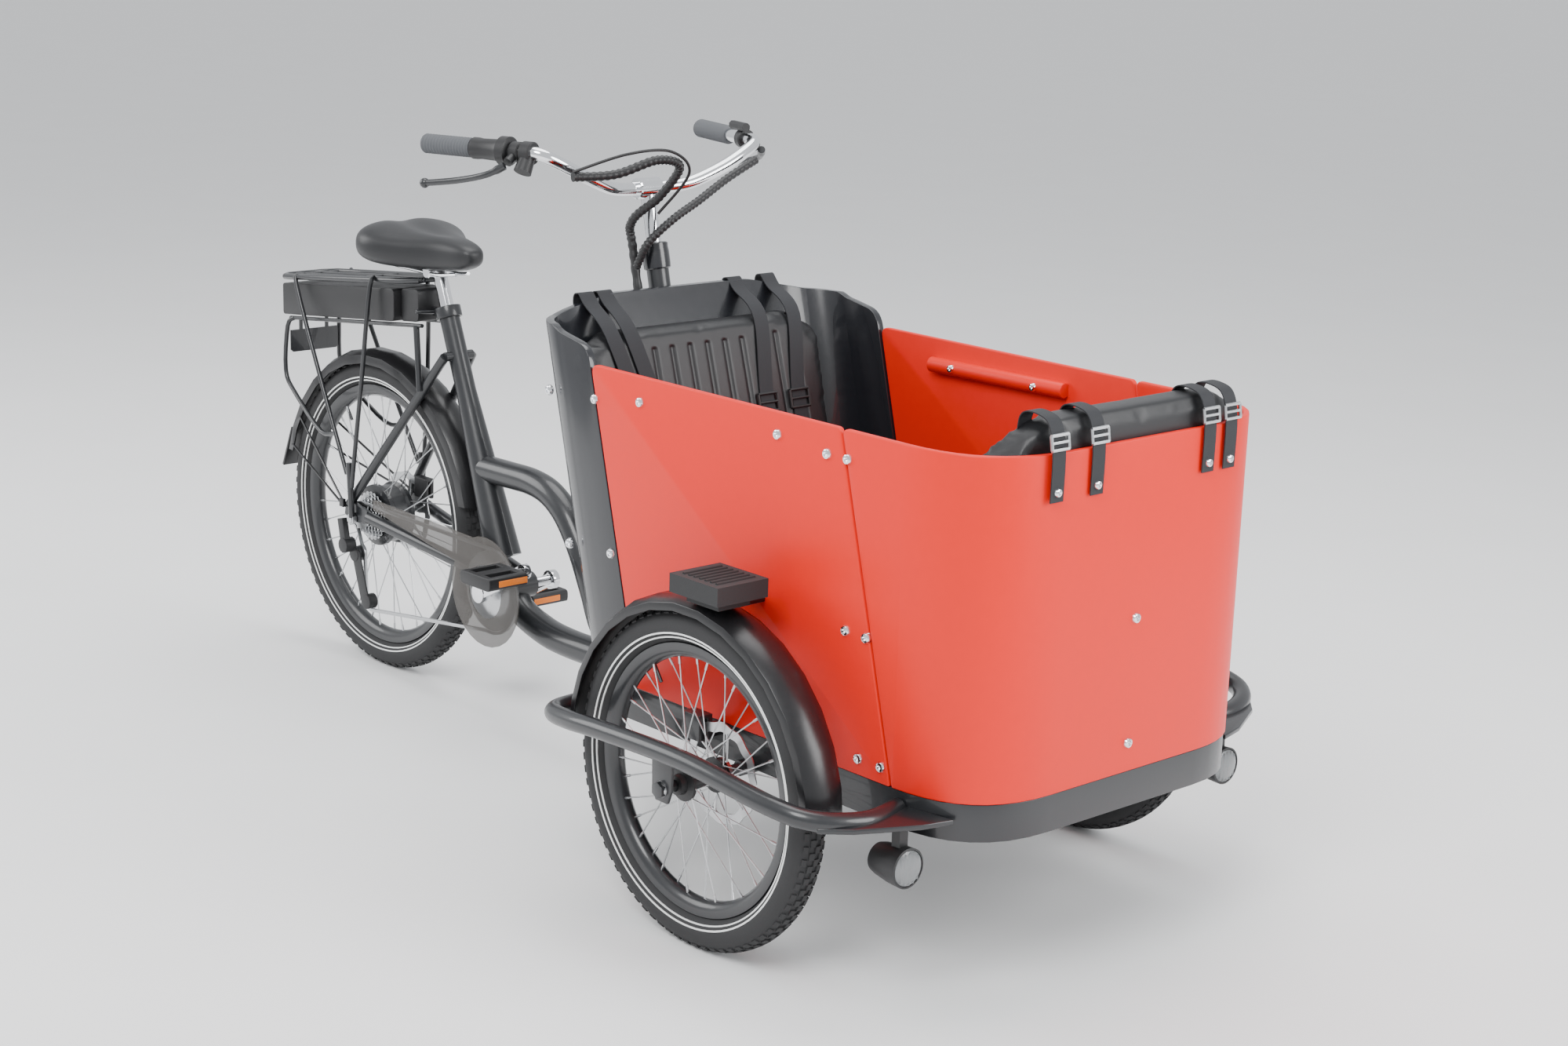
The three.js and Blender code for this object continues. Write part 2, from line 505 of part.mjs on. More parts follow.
// Steel rail round the floor, with cross members, the steering pin and the front brake mounts.
function boxFrame() {
  const height = BOX_FLOOR_Z - GAP - RAIL.bottom;
  const rail = cut(standing(boxPlan(RAIL.inset, BOX.rear, 60), RAIL.bottom, height, 8),
    standing(boxPlan(RAIL.inset + RAIL.width, BOX.rear, 60), 0, 1000, 8));
  const crossBars = [PIVOT_X, 120].map((x) => block([x - 45, -300, 276], [x + 45, 300, 306]));
  const pin = rod([PIVOT_X, 0, 146], [PIVOT_X, 0, 280], 17, 16);
  const nut = rod([PIVOT_X, 0, 144], [PIVOT_X, 0, 157], 27, 12);
  const shoulder = rod([PIVOT_X, 0, 247], [PIVOT_X, 0, 280], 34, 16);
  const tongue = block([-512, -30, 284], [-410, 30, BOX_FLOOR_Z - GAP]);
  const brakes = [-1, 1].flatMap((side) => [
    caliper(-58, side * 374, 314, 13),
    block([-76, side < 0 ? -364 : 314, 300], [-44, side < 0 ? -314 : 364, 312 - GAP]),
  ]);
  const solid = join(rail, ...crossBars, pin, nut, shoulder, tongue, ...brakes);
  return cut(solid, rod([0, -340, FRONT.z], [0, 340, FRONT.z], 13.5, 12));
}
piece('box_frame', boxFrame(), BLACK_PAINT);

function boxFloor() {
  const inset = BOX.wallSkin + 1;
  return standing(boxPlan(inset, BOX.rear, BOX.rearCorner), BOX_FLOOR_Z, 10, 8);
}
piece('box_floor', boxFloor(), PLYWOOD);

function frontAxle() {
  const shaft = turned([[0, -499], [8, -499], [8, -340], [12, -340], [12, 340], [8, 340], [8, 499], [0, 499]],
    0, FRONT.z, 12);
  const nuts = [-1, 1].map((side) => rod([0, side * 491, FRONT.z], [0, side * 499, FRONT.z], 13, 6));
  return join(shaft, ...nuts);
}
piece('front_axle', frontAxle(), STEEL);

// ---------- seats and pads inside the box ----------
function benchSeat() {
  const seat = sideways(roundedShape([[-385, 323], [-170, 323], [-170, 470], [-460, 470]]), -300, 600);
  return cut(seat.intersect(leaningBlock(BOX.wallSkin + 3)), block([-600, -285, 300], [-182, 285, 458]));
}
piece('bench_seat', benchSeat(), PLYWOOD);

function seatCushion() {
  const slab = sideways(roundedShape([[-500, 472], [-150, 472, 14], [-150, 522, 18], [-500, 522]]), -290, 580, 4);
  return slab.intersect(leaningBlock(BOX.wallSkin + 8));
}
piece('seat_cushion', seatCushion(), VINYL);

function backrestCushion() {
  const wallX = (z) => leanX(BOX.rear + BOX.wallSkin, z);
  const profile = roundedShape([[wallX(528) + 4, 528, 8], [wallX(528) + 58, 528, 16], [wallX(838) + 44, 838, 16],
    [wallX(838) + 4, 838, 8]]);
  const frontView = roundedShape([[-262, 500, 20], [262, 500, 20], [268, 800, 40], [200, 838, 60], [-200, 838, 60],
    [-268, 800, 40]]);
  return sideways(profile, -290, 580, 4).intersect(facing(frontView, -600, 400))
    .intersect(leaningBlock(BOX.wallSkin + 3));
}
piece('backrest_cushion', backrestCushion(), VINYL);

// A padded arch that follows the inside of the front panel and stands above its edge.
function frontPad() {
  const band = cut(standing(boxPlan(BOX.skin + 4, -700, 100), 520, 400, 8),
    standing(boxPlan(BOX.skin + 52, -700, 100), 500, 500, 8));
  const arch = roundedShape([[-300, 560, 40], [300, 560, 40], [296, 740, 90], [200, 862, 110], [-200, 862, 110],
    [-296, 740, 90]]);
  return band.intersect(facing(arch, 250, 300));
}
piece('front_pad', frontPad(), VINYL);

// ---------- front fenders, steps, bumper bars and lamps ----------
function frontFender(side) {
  const y = side * FRONT.y;
  const bracket = block([-26, side < 0 ? -388 : 320.5, 522], [26, side < 0 ? -320.5 : 388, 528]);
  return join(channel(FRONT, y, 37, 280, 258, 278), bracket);
}

function stepPad(side) {
  const y = side * 425;
  const plan = roundedShape([[-14, y - 50, 10], [96, y - 46, 10], [96, y + 46, 10], [-14, y + 50, 10]]);
  const slab = standing(plan, 544, 40, 3);
  return cut(slab, channelTool(side));
}

// What a step pad leaves free for the fender under it.
function channelTool(side) {
  const y = side * FRONT.y;
  return turned([[0, y - 60], [280.5, y - 60], [280.5, y + 60], [0, y + 60]], 0, FRONT.z);
}

function bumperBar(side) {
  const route = [[318, -322, 287], [334, -400, 290], [306, -470, 298], [240, -497, 308], [66, -503, 324],
    [-120, -500, 318], [-220, -492, 308], [-284, -470, 300], [-312, -412, 294], [-314, -322, 290]];
  const tube = pipe(side < 0 ? route : mirrorY(route), 15, 8, 18);
  const wing = [[300, 320.5], [408, 300.5], [396, 350], [352, 440], [318, 478], [309, 440], [309, 360]];
  const corners = wing.map(([x, y]) => [x, side * y]);
  const plate = standing(roundedShape(side < 0 ? corners : corners.toReversed(), 6), 284, 10, 3);
  const bracketShape = roundedShape([[-24, 238, 10], [24, 238, 10], [20, 330, 4], [-20, 330, 4]]);
  const bracket = sideways(bracketShape, side < 0 ? -490.5 : 484.5, 6);
  const box = standing(boxPlan(RAIL.inset - 0.5, BOX.rear, 60), 200, 200, 8);
  return cut(join(tube, plate, bracket), rod([0, side * 470, FRONT.z], [0, side * 500, FRONT.z], 9, 12), box);
}

function headlight(side) {
  const y = side * 352;
  const body = rod([312, y, 221], [370, y, 221], 24, 14, 29);
  const lens = rod([370, y, 221], [378, y, 221], 28, 14, 26);
  const stem = block([347, y - 7, 240], [363, y + 7, 284 - GAP]);
  return join(body, lens, stem);
}

for (const [name, side] of [['right', -1], ['left', 1]]) {
  piece(`front_fender_${name}`, frontFender(side), BLACK_PLASTIC);
  piece(`step_pad_${name}`, stepPad(side), BLACK_PLASTIC);
  piece(`bumper_bar_${name}`, bumperBar(side), BLACK_PAINT);
  piece(`headlight_${name}`, headlight(side), BLACK_PLASTIC);
}

// ---------- steering column, stem and handlebar ----------
const columnAt = (z) => [COLUMN.x - (z - COLUMN.z) * COLUMN.lean, 0, z];

function steeringColumn() {
  const tube = rod(columnAt(318), columnAt(COLUMN.topZ - 34), COLUMN.radius, 16);
  const collar = rod(columnAt(COLUMN.topZ - 42), columnAt(COLUMN.topZ), 23, 16);
  const foot = rod([COLUMN.x, 0, COLUMN.z + GAP], [COLUMN.x, 0, 330], 28, 16, 24);
  const braceX = leanX(BOX.rear, 760) - 0.6;
  const brace = sideways(roundedShape([[columnAt(744)[0], 744], [leanX(BOX.rear, 744) - 0.6, 744], [braceX, 760],
    [columnAt(760)[0], 760]]), -16, 32);
  return cut(join(tube, collar, foot, brace), rod(columnAt(850), columnAt(960), 12.6, 14));
}
piece('steering_column', steeringColumn(), BLACK_PAINT);

function stem() {
  const quill = rod(columnAt(856), [STEM.x, 0, STEM.z - 6], 11.8, 14);
  const clamp = rod([STEM.x, -24, STEM.z], [STEM.x, 24, STEM.z], 18, 14);
  return cut(join(quill, clamp), rod([STEM.x, -40, STEM.z], [STEM.x, 40, STEM.z], BAR_RADIUS + 1, 14));
}
piece('stem', stem(), CHROME);

// A point on the straight part of the bar, `t` millimetres in from its end on the given side.
function onGrip(side, t) {
  const point = between(GRIP_END, GRIP_START, t / vec(GRIP_END).distanceTo(vec(GRIP_START)));
  return [point[0], side * point[1], point[2]];
}
const sleeve = (side, from, to, radius) => rod(onGrip(side, from), onGrip(side, to), radius, 14);

// Where a brake lever turns, and where its ball end lies: below and outside the grip.
const offGrip = (side, t, out, drop) => {
  const [x, y, z] = onGrip(side, t);
  return [x + 0.285 * out, y + side * 0.958 * out, z - drop];
};
const LEVER_PLACE = 190;
const leverPivot = (side) => offGrip(side, LEVER_PLACE, 34, 20);

function handlebar() {
  const half = [onGrip(1, 8), onGrip(1, 100), onGrip(1, 190), GRIP_START, [-636, 206, 1092], [-634, 150, 1066],
    [-644, 86, 1042], [STEM.x, 34, STEM.z], [STEM.x, 12, STEM.z]];
  const tube = pipe([...half, ...mirrorY(half).reverse()], BAR_RADIUS, 8, 32);
  const clamps = [-1, 1].flatMap((side) => [
    sleeve(side, 181, 200, 17),
    rod(onGrip(side, LEVER_PLACE), offGrip(side, LEVER_PLACE, 26, 15), 9, 8),
  ]);
  const shifter = sleeve(-1, 203, 224, 19);
  const shifterPod = rod(onGrip(-1, 214), offGrip(-1, 214, 18, 30), 15, 8);
  const display = bar(offGrip(1, 218, -10, -22), offGrip(1, 162, -10, -22), 12, 42);
  const displayFoot = rod(onGrip(1, 208), offGrip(1, 202, -8, -18), 8, 8);
  return join(tube, ...clamps, shifter, shifterPod, display, displayFoot);
}
piece('handlebar', handlebar(), CHROME);

const bored = (side, from, to, radius) => cut(sleeve(side, from, to, radius), sleeve(side, 6, 300, BAR_RADIUS + 0.5));
piece('grip_right', bored(-1, 0, 101, 16.5), GRIP_RUBBER);
piece('grip_left', bored(1, 0, 130, 16.5), GRIP_RUBBER);
const throttle = cut(join(sleeve(-1, 102, 170, 18), sleeve(-1, 158, 178, 24)), sleeve(-1, 6, 300, BAR_RADIUS + 0.5));
piece('throttle', throttle, BLACK_PLASTIC);

function brakeLever(side) {
  const [x, y, z] = leverPivot(side);
  const hub = rod([x, y, z - 8], [x, y, z + 4], 8, 8);
  const blade = pipe([[x, y, z - 4], offGrip(side, 160, 44, 36), offGrip(side, 100, 42, 50),
    offGrip(side, 32, 42, 60)], 6, 6, 7);
  const ball = new THREE.SphereGeometry(9, 8, 6);
  ball.translate(...offGrip(side, 30, 42, 60));
  return join(hub, blade, toSolid(ball));
}
const leverRoom = (side) => rod(onGrip(side, LEVER_PLACE), offGrip(side, LEVER_PLACE, 29, 17), 12, 8);
for (const [name, side] of [['right', -1], ['left', 1]]) {
  piece(`brake_lever_${name}`, cut(brakeLever(side), leverRoom(side)), BLACK_PAINT);
}

// Brake and motor cables in a spiral wrap, from both controls to the column and down behind the box.
function controlCables() {
  const [, , footZ] = columnAt(330);
  const beside = (z) => [columnAt(z)[0] - 4, -44, z];
  const right = [[-606, -196, 1070], [-590, -120, 1072], [-568, -50, 1094], [-556, -12, 1082], [-590, -26, 1030],
    [-632, -50, 985], beside(930), beside(700), beside(500), beside(footZ)];
  const left = [[-606, 200, 1078], [-600, 130, 1050], [-592, 62, 1018], [-590, 4, 990], [-606, -36, 950], beside(905)];
  return join(pipe(right, 8, 6, 28), pipe(left, 7.5, 6, 12));
}
piece('control_cables', controlCables(), BLACK_PLASTIC);

export default tricycle;
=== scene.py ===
"""Looks for the front-box cargo tricycle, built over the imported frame. Stations are millimetres ahead of
the front axle, to the left of the middle and above the floor; at() turns them into the row frame."""

import json
import math

import bmesh
import bpy
from mathutils import Matrix, Vector

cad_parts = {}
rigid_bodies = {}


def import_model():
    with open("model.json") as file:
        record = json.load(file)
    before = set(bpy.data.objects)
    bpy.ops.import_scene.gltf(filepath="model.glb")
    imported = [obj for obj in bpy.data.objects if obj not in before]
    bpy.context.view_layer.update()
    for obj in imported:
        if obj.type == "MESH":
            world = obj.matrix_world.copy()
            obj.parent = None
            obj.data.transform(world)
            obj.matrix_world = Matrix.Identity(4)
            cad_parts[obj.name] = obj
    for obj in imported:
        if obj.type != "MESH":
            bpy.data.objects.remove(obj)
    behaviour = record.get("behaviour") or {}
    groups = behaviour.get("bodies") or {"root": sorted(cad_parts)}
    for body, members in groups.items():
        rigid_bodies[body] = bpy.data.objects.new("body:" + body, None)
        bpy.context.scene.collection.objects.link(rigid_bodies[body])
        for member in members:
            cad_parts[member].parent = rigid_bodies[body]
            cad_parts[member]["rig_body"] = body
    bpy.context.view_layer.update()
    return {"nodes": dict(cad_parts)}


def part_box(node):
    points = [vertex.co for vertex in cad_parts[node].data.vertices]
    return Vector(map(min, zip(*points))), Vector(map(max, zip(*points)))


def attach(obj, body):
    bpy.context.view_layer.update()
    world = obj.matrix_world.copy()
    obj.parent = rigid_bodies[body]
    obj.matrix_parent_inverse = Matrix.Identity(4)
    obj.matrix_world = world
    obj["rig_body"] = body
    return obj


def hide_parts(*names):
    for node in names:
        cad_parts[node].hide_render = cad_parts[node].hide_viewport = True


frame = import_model()


def centre_of(node):
    low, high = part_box(node)
    return (low + high) / 2


AXLE_X = centre_of("front_rim_right").x
SIDES = (("right", -1), ("left", 1))
FRONT_WHEEL = {"x": 0, "z": 260, "radius": 260, "rim": 204, "half": 28}
REAR_WHEEL = {"x": -1444, "z": 308, "radius": 308, "rim": 254, "half": 27}
FRONT_Y = 417
FRONT_DISC_Y = 374
STEP_Y = 425
BOX_LEAN = 0.257
COLUMN_LEAN = 0.24
FLOOR_Z = 312
FRONT_FACE = 461
BOX_HALF = 320
WALL_FOOT = -416
STEM_X, STEM_Z = -654.8, 1036


def at(x, y, z):
    """A point given by its station, in the row frame in metres."""
    return Vector((AXLE_X + x / 1000, y / 1000, z / 1000))


def lean_x(x, z):
    return x - BOX_LEAN * (z - FLOOR_Z)


def column_x(z):
    return -481 - COLUMN_LEAN * (z - FLOOR_Z)


# ---------- camera, light and floor ----------
def make_camera():
    yaw, pitch, roll = math.radians(47.34), math.radians(14.17), math.radians(1.86)
    level = Vector((-math.sin(yaw), math.cos(yaw), 0))
    forward = level * math.cos(pitch) - Vector((0, 0, math.sin(pitch)))
    right = forward.cross(Vector((0, 0, 1))).normalized()
    up = right.cross(forward)
    tilted_right = right * math.cos(roll) + up * math.sin(roll)
    tilted_up = up * math.cos(roll) - right * math.sin(roll)
    data = bpy.data.cameras.new("camera")
    data.sensor_width = 36
    data.lens = 59.52
    camera = bpy.data.objects.new("camera", data)
    bpy.context.scene.collection.objects.link(camera)
    turn = Matrix((tilted_right, tilted_up, -forward)).transposed().to_4x4()
    camera.matrix_world = Matrix.Translation((3.39865, -2.786, 1.567)) @ turn
    bpy.context.scene.camera = camera


def make_light(name, place, target, size, power):
    data = bpy.data.lights.new(name, "AREA")
    data.shape = "DISK"
    data.size = size
    data.energy = power
    light = bpy.data.objects.new(name, data)
    light.location = place
    light.rotation_euler = (Vector(target) - Vector(place)).to_track_quat("-Z", "Y").to_euler()
    bpy.context.scene.collection.objects.link(light)


def make_stage():
    make_light("key", (2.2, -3.6, 4.2), (0, 0, 0.4), 2.6, 210)
    make_light("fill", (-3.5, -2.8, 2.6), (-0.4, 0, 0.6), 3.0, 120)
    make_light("front", (4.2, 1.6, 2.2), (0.4, 0, 0.6), 2.6, 140)
    make_light("top", (-0.3, 0.6, 4.5), (0, 0, 0.5), 3.5, 130)
    world = bpy.data.worlds.new("studio")
    world.use_nodes = True
    background = world.node_tree.nodes["Background"]
    background.inputs["Color"].default_value = (0.93, 0.95, 0.98, 1)
    background.inputs["Strength"].default_value = 0.95
    bpy.context.scene.world = world
    mesh = bpy.data.meshes.new("floor")
    edge = 90
    corners = [(-edge, -edge, 0), (edge, -edge, 0), (edge, edge, 0), (-edge, edge, 0)]
    mesh.from_pydata(corners, [], [(0, 1, 2, 3)])
    floor = bpy.data.objects.new("floor", mesh)
    mesh.materials.append(surface("floor_paint", (0.86, 0.86, 0.86), 0.7, grain=3, tint=0.02, bump=0.0))
    bpy.context.scene.collection.objects.link(floor)


# ---------- materials ----------
GRAIN_DEPTH = 0.0005


def surface(name, colour, roughness, metallic=0.0, grain=120.0, tint=0.06, bump=0.08, **extra):
    """A finish with its own grain: noise varies the colour and the roughness and raises a fine bump."""
    material = bpy.data.materials.new(name)
    material.use_nodes = True
    nodes, links = material.node_tree.nodes, material.node_tree.links
    shader = nodes["Principled BSDF"]
    shader.inputs["Base Color"].default_value = (*colour, 1)
    shader.inputs["Roughness"].default_value = roughness
    shader.inputs["Metallic"].default_value = metallic
    for socket, value in extra.items():
        shader.inputs[socket.replace("_", " ")].default_value = value
    place = nodes.new("ShaderNodeTexCoord")
    noise = nodes.new("ShaderNodeTexNoise")
    noise.inputs["Scale"].default_value = grain
    noise.inputs["Detail"].default_value = 5
    links.new(place.outputs["Object"], noise.inputs["Vector"])
    ramp = nodes.new("ShaderNodeValToRGB")
    for stop, factor in zip(ramp.color_ramp.elements, (1 - tint, 1 + tint)):
        stop.color = (*[min(1, c * factor) for c in colour], 1)
    links.new(noise.outputs["Fac"], ramp.inputs["Fac"])
    links.new(ramp.outputs["Color"], shader.inputs["Base Color"])
    spread = nodes.new("ShaderNodeMapRange")
    spread.inputs["To Min"].default_value = max(0.02, roughness - 0.06)
    spread.inputs["To Max"].default_value = min(1, roughness + 0.06)
    links.new(noise.outputs["Fac"], spread.inputs["Value"])
    links.new(spread.outputs["Result"], shader.inputs["Roughness"])
    if bump:
        raised = nodes.new("ShaderNodeBump")
        raised.inputs["Strength"].default_value = bump
        raised.inputs["Distance"].default_value = GRAIN_DEPTH
        links.new(noise.outputs["Fac"], raised.inputs["Height"])
        links.new(raised.outputs["Normal"], shader.inputs["Normal"])
    return material


make_camera()
make_stage()
RED = surface("red_paint", (0.78, 0.012, 0.003), 0.42, grain=60, tint=0.03, bump=0.05,
              Specular_IOR_Level=0.3)
BLACK = surface("black_paint", (0.014, 0.015, 0.017), 0.34, grain=150, Coat_Weight=0.3)
PANEL = surface("black_panel", (0.012, 0.013, 0.016), 0.24, grain=90, Coat_Weight=0.4)
PLASTIC = surface("black_plastic", (0.012, 0.012, 0.013), 0.46, grain=500, bump=0.3)
FENDER = surface("fender_plastic", (0.009, 0.009, 0.01), 0.3, grain=200, bump=0.06)
RUBBER = surface("tyre_rubber", (0.022, 0.022, 0.023), 0.8, grain=350, bump=0.35)
VINYL = surface("vinyl", (0.012, 0.0125, 0.014), 0.4, grain=900, bump=0.5)
WEBBING = surface("webbing", (0.014, 0.015, 0.018), 0.7, grain=1500, bump=0.6)
CHROME = surface("chrome", (0.82, 0.83, 0.85), 0.1, metallic=1, grain=40, bump=0.0)
STEEL = surface("steel", (0.55, 0.56, 0.57), 0.3, metallic=1, grain=300)
GRIP = surface("grip_rubber", (0.085, 0.09, 0.098), 0.75, grain=600, bump=0.4)
SMOKED = surface("smoked", (0.07, 0.062, 0.055), 0.25, grain=80, Alpha=0.6)
RED_LENS = surface("red_lens", (0.55, 0.012, 0.01), 0.15, grain=200, Coat_Weight=0.6)
CLEAR = surface("clear_lens", (0.5, 0.52, 0.53), 0.1, grain=250, bump=0.6, Transmission_Weight=0.7)
WHITE = surface("reflective_stripe", (0.8, 0.81, 0.8), 0.4, grain=300)
AMBER = surface("amber_reflector", (0.85, 0.2, 0.01), 0.25, grain=500, bump=0.6)
BOARD = surface("board", (0.02, 0.02, 0.021), 0.6, grain=80, bump=0.3)


# ---------- shapes ----------
def smooth_path(points, steps=6):
    """A rounded line through the points."""
    ends = [points[0], *points, points[-1]]
    line = []
    for a, b, c, d in zip(ends, ends[1:], ends[2:], ends[3:]):
        for step in range(steps):
            t = step / steps
            line.append(0.5 * (2 * b + (c - a) * t + (2 * a - 5 * b + 4 * c - d) * t**2
                               + (3 * b - a - 3 * c + d) * t**3))
    line.append(points[-1])
    return line


def add_tube(bm, points, radius, sides=16, closed=False):
    """A round tube along the points; radius is one number or one per point, in millimetres."""
    radii = radius if hasattr(radius, "__len__") else [radius] * len(points)
    side = None
    rings = []
    for i, point in enumerate(points):
        ahead = points[(i + 1) % len(points)] if closed else points[min(i + 1, len(points) - 1)]
        behind = points[i - 1] if closed or i else point
        along = (ahead - behind).normalized()
        start = side if side is not None else Vector((0.31, 0.87, 0.39))
        side = (start - along * start.dot(along)).normalized()
        other = along.cross(side)
        ring = []
        for k in range(sides):
            angle = math.tau * k / sides
            offset = side * math.cos(angle) + other * math.sin(angle)
            ring.append(bm.verts.new(point + offset * radii[i] / 1000))
        rings.append(ring)
    pairs = list(zip(rings, rings[1:]))
    if closed:
        pairs.append((rings[-1], rings[0]))
    for low, high in pairs:
        for k in range(sides):
            bm.faces.new((low[k], low[(k + 1) % sides], high[(k + 1) % sides], high[k]))
    if not closed:
        bm.faces.new(rings[0][::-1])
        bm.faces.new(rings[-1])


def add_turned(bm, profile, middle, axis, sides=48):
    """A closed profile of (radius, along) in millimetres, turned about the axis through middle."""
    axis = Vector(axis).normalized()
    side = axis.orthogonal().normalized()
    other = axis.cross(side)
    rings = []
    for k in range(sides):
        angle = math.tau * k / sides
        out = side * math.cos(angle) + other * math.sin(angle)
        rings.append([bm.verts.new(middle + (out * r + axis * s) / 1000) for r, s in profile])
    for k in range(sides):
        ring, following = rings[k], rings[(k + 1) % sides]
        for i in range(len(profile)):
            j = (i + 1) % len(profile)
            bm.faces.new((ring[i], ring[j], following[j], following[i]))


def add_block(bm, middle, size, turn=None):
    """A box of that size in millimetres."""
    turn = turn or Matrix.Identity(3)
    half = Vector(size) / 2000
    corners = [(-1, -1), (1, -1), (1, 1), (-1, 1)]
    lower, upper = [[bm.verts.new(middle + turn @ Vector((a * half.x, b * half.y, c * half.z)))
                     for a, b in corners] for c in (-1, 1)]
    bm.faces.new(lower[::-1])
    bm.faces.new(upper)
    for i in range(4):
        j = (i + 1) % 4
        bm.faces.new((lower[i], lower[j], upper[j], upper[i]))


def add_plate(bm, outline, thickness):
    """A flat plate: the outline's points, thickened along one direction in millimetres."""
    lower = [bm.verts.new(p) for p in outline]
    upper = [bm.verts.new(p + Vector(thickness) / 1000) for p in outline]
    bm.faces.new(lower[::-1])
    bm.faces.new(upper)
    count = len(outline)
    for i in range(count):
        j = (i + 1) % count
        bm.faces.new((lower[i], lower[j], upper[j], upper[i]))


def add_bolt(bm, place, out, radius=9, height=5):
    """A domed button head with a socket in it."""
    out = Vector(out).normalized()
    profile = [(0.01, -2), (radius, -2), (radius, 1), (radius * 0.8, height * 0.8), (radius * 0.5, height),
               (radius * 0.42, height), (radius * 0.38, height * 0.3), (0.01, height * 0.3)]
    add_turned(bm, profile, place, out, 18)


def round_edges(bm, width, angle=32, segments=3):
    sharp = [e for e in bm.edges if len(e.link_faces) == 2 and e.calc_face_angle(0) > math.radians(angle)]
    bmesh.ops.bevel(bm, geom=sharp, offset=width / 1000, segments=segments, profile=0.5,
                    clamp_overlap=True, affect="EDGES")


def show(bm, name, material, body, nodes=(), bevel=0.0):
    """Turns the mesh being built into a piece that rides on a body and stands for these CAD nodes."""
    bmesh.ops.recalc_face_normals(bm, faces=bm.faces)
    if bevel:
        round_edges(bm, bevel)
    mesh = bpy.data.meshes.new(name)
    bm.to_mesh(mesh)
    bm.free()
    mesh.materials.append(material)
    mesh.shade_smooth()
    mesh.set_sharp_from_angle(angle=math.radians(38))
    piece = bpy.data.objects.new(name, mesh)
    bpy.context.scene.collection.objects.link(piece)
    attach(piece, body)
    if nodes:
        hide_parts(*nodes)
    return piece


def body_of(node):
    return frame["nodes"][node]["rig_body"]


def refined(node, name, material, bevel=2.0):
    """The CAD node's own shape with its edges rounded."""
    bm = bmesh.new()
    bm.from_mesh(frame["nodes"][node].data)
    bmesh.ops.remove_doubles(bm, verts=bm.verts, dist=0.00005)
    bmesh.ops.dissolve_limit(bm, angle_limit=math.radians(1.0), verts=bm.verts, edges=bm.edges)
    return show(bm, name, material, body_of(node), [node], bevel)


# ---------- wheels ----------
def ring_point(wheel, y, radius, angle):
    return at(wheel["x"] + radius * math.cos(angle), y, wheel["z"] + radius * math.sin(angle))


def tyre(wheel, y, name, node, body):
    """A balloon tyre with staggered tread blocks and a pair of pale stripes on each wall."""
    middle = at(wheel["x"], y, wheel["z"])
    core = (wheel["radius"] + wheel["rim"]) / 2
    tall = (wheel["radius"] - wheel["rim"]) / 2 - 1.5
    profile = []
    for k in range(26):
        angle = math.tau * k / 26
        profile.append((core + tall * math.cos(angle), wheel["half"] * 0.97 * math.sin(angle)))
    bm = bmesh.new()
    add_turned(bm, profile, middle, (0, 1, 0), 96)
    blocks = 78
    rows = ((-38, 0.5, 7), (-17, 0, 8), (0, 0.5, 8), (17, 0, 8), (38, 0.5, 7))
    for k in range(blocks):
        for tip, stagger, width in rows:
            spin = math.tau * (k + stagger) / blocks
            lean = math.radians(tip)
            radius = core + (tall + 0.6) * math.cos(lean)
            offset = wheel["half"] * 0.97 * math.sin(lean)
            place = ring_point(wheel, y + offset, radius, spin)
            turn = Matrix.Rotation(-spin, 3, "Y") @ Matrix.Rotation(lean, 3, "Z")
            add_block(bm, place, (3.4, width, 11), turn)
    show(bm, name, RUBBER, body, [node])
    bm = bmesh.new()
    for radius in (0.24, 0.36):
        stripe = wheel["rim"] + radius * 2 * tall
        rise = wheel["half"] * 0.97 * math.sqrt(max(0, 1 - ((stripe - core) / tall) ** 2))
        for side in (-1, 1):
            low, high = side * (rise - 1.2), side * (rise + 0.5)
            inner, outer = stripe - 1.3, stripe + 1.3
            add_turned(bm, [(inner, low), (outer, low), (outer, high), (inner, high)], middle, (0, 1, 0), 96)
    show(bm, name + "_stripes", WHITE, body)


def rim(wheel, y, name, node, body):
    middle = at(wheel["x"], y, wheel["z"])
    edge = wheel["rim"]
    half = [(-4, 11), (4, 12.5), (3, 15), (-8, 15), (-15, 11), (-20, 4)]
    profile = [(edge + r, -s) for r, s in half[2::-1]] + [(edge + r, s) for r, s in half]
    profile += [(edge + r, -s) for r, s in half[:2:-1]]
    bm = bmesh.new()
    add_turned(bm, profile, middle, (0, 1, 0), 96)
    valve = [ring_point(wheel, y, edge - r, 2.2) for r in (16, 48)]
    add_tube(bm, valve, 3, 10)
    show(bm, name, BLACK, body, [node])


def spokes(wheel, y, name, body, flange, reach, count=36, lead=0.62):
    """Crossed wire spokes between the hub's flanges and the rim."""
    bm = bmesh.new()
    for k in range(count):
        rim_angle = math.tau * (k + 0.5) / count
        side = 1 if k % 2 else -1
        turn = lead if k % 4 < 2 else -lead
        inner = ring_point(wheel, y + side * reach, flange, rim_angle + turn)
        outer = ring_point(wheel, y + side * 3, wheel["rim"] - 17, rim_angle)
        add_tube(bm, [inner, outer], 1.15, 8)
        nipple = outer + (inner - outer).normalized() * 0.014
        add_tube(bm, [outer, nipple], 2.1, 8)
    show(bm, name, STEEL, body)


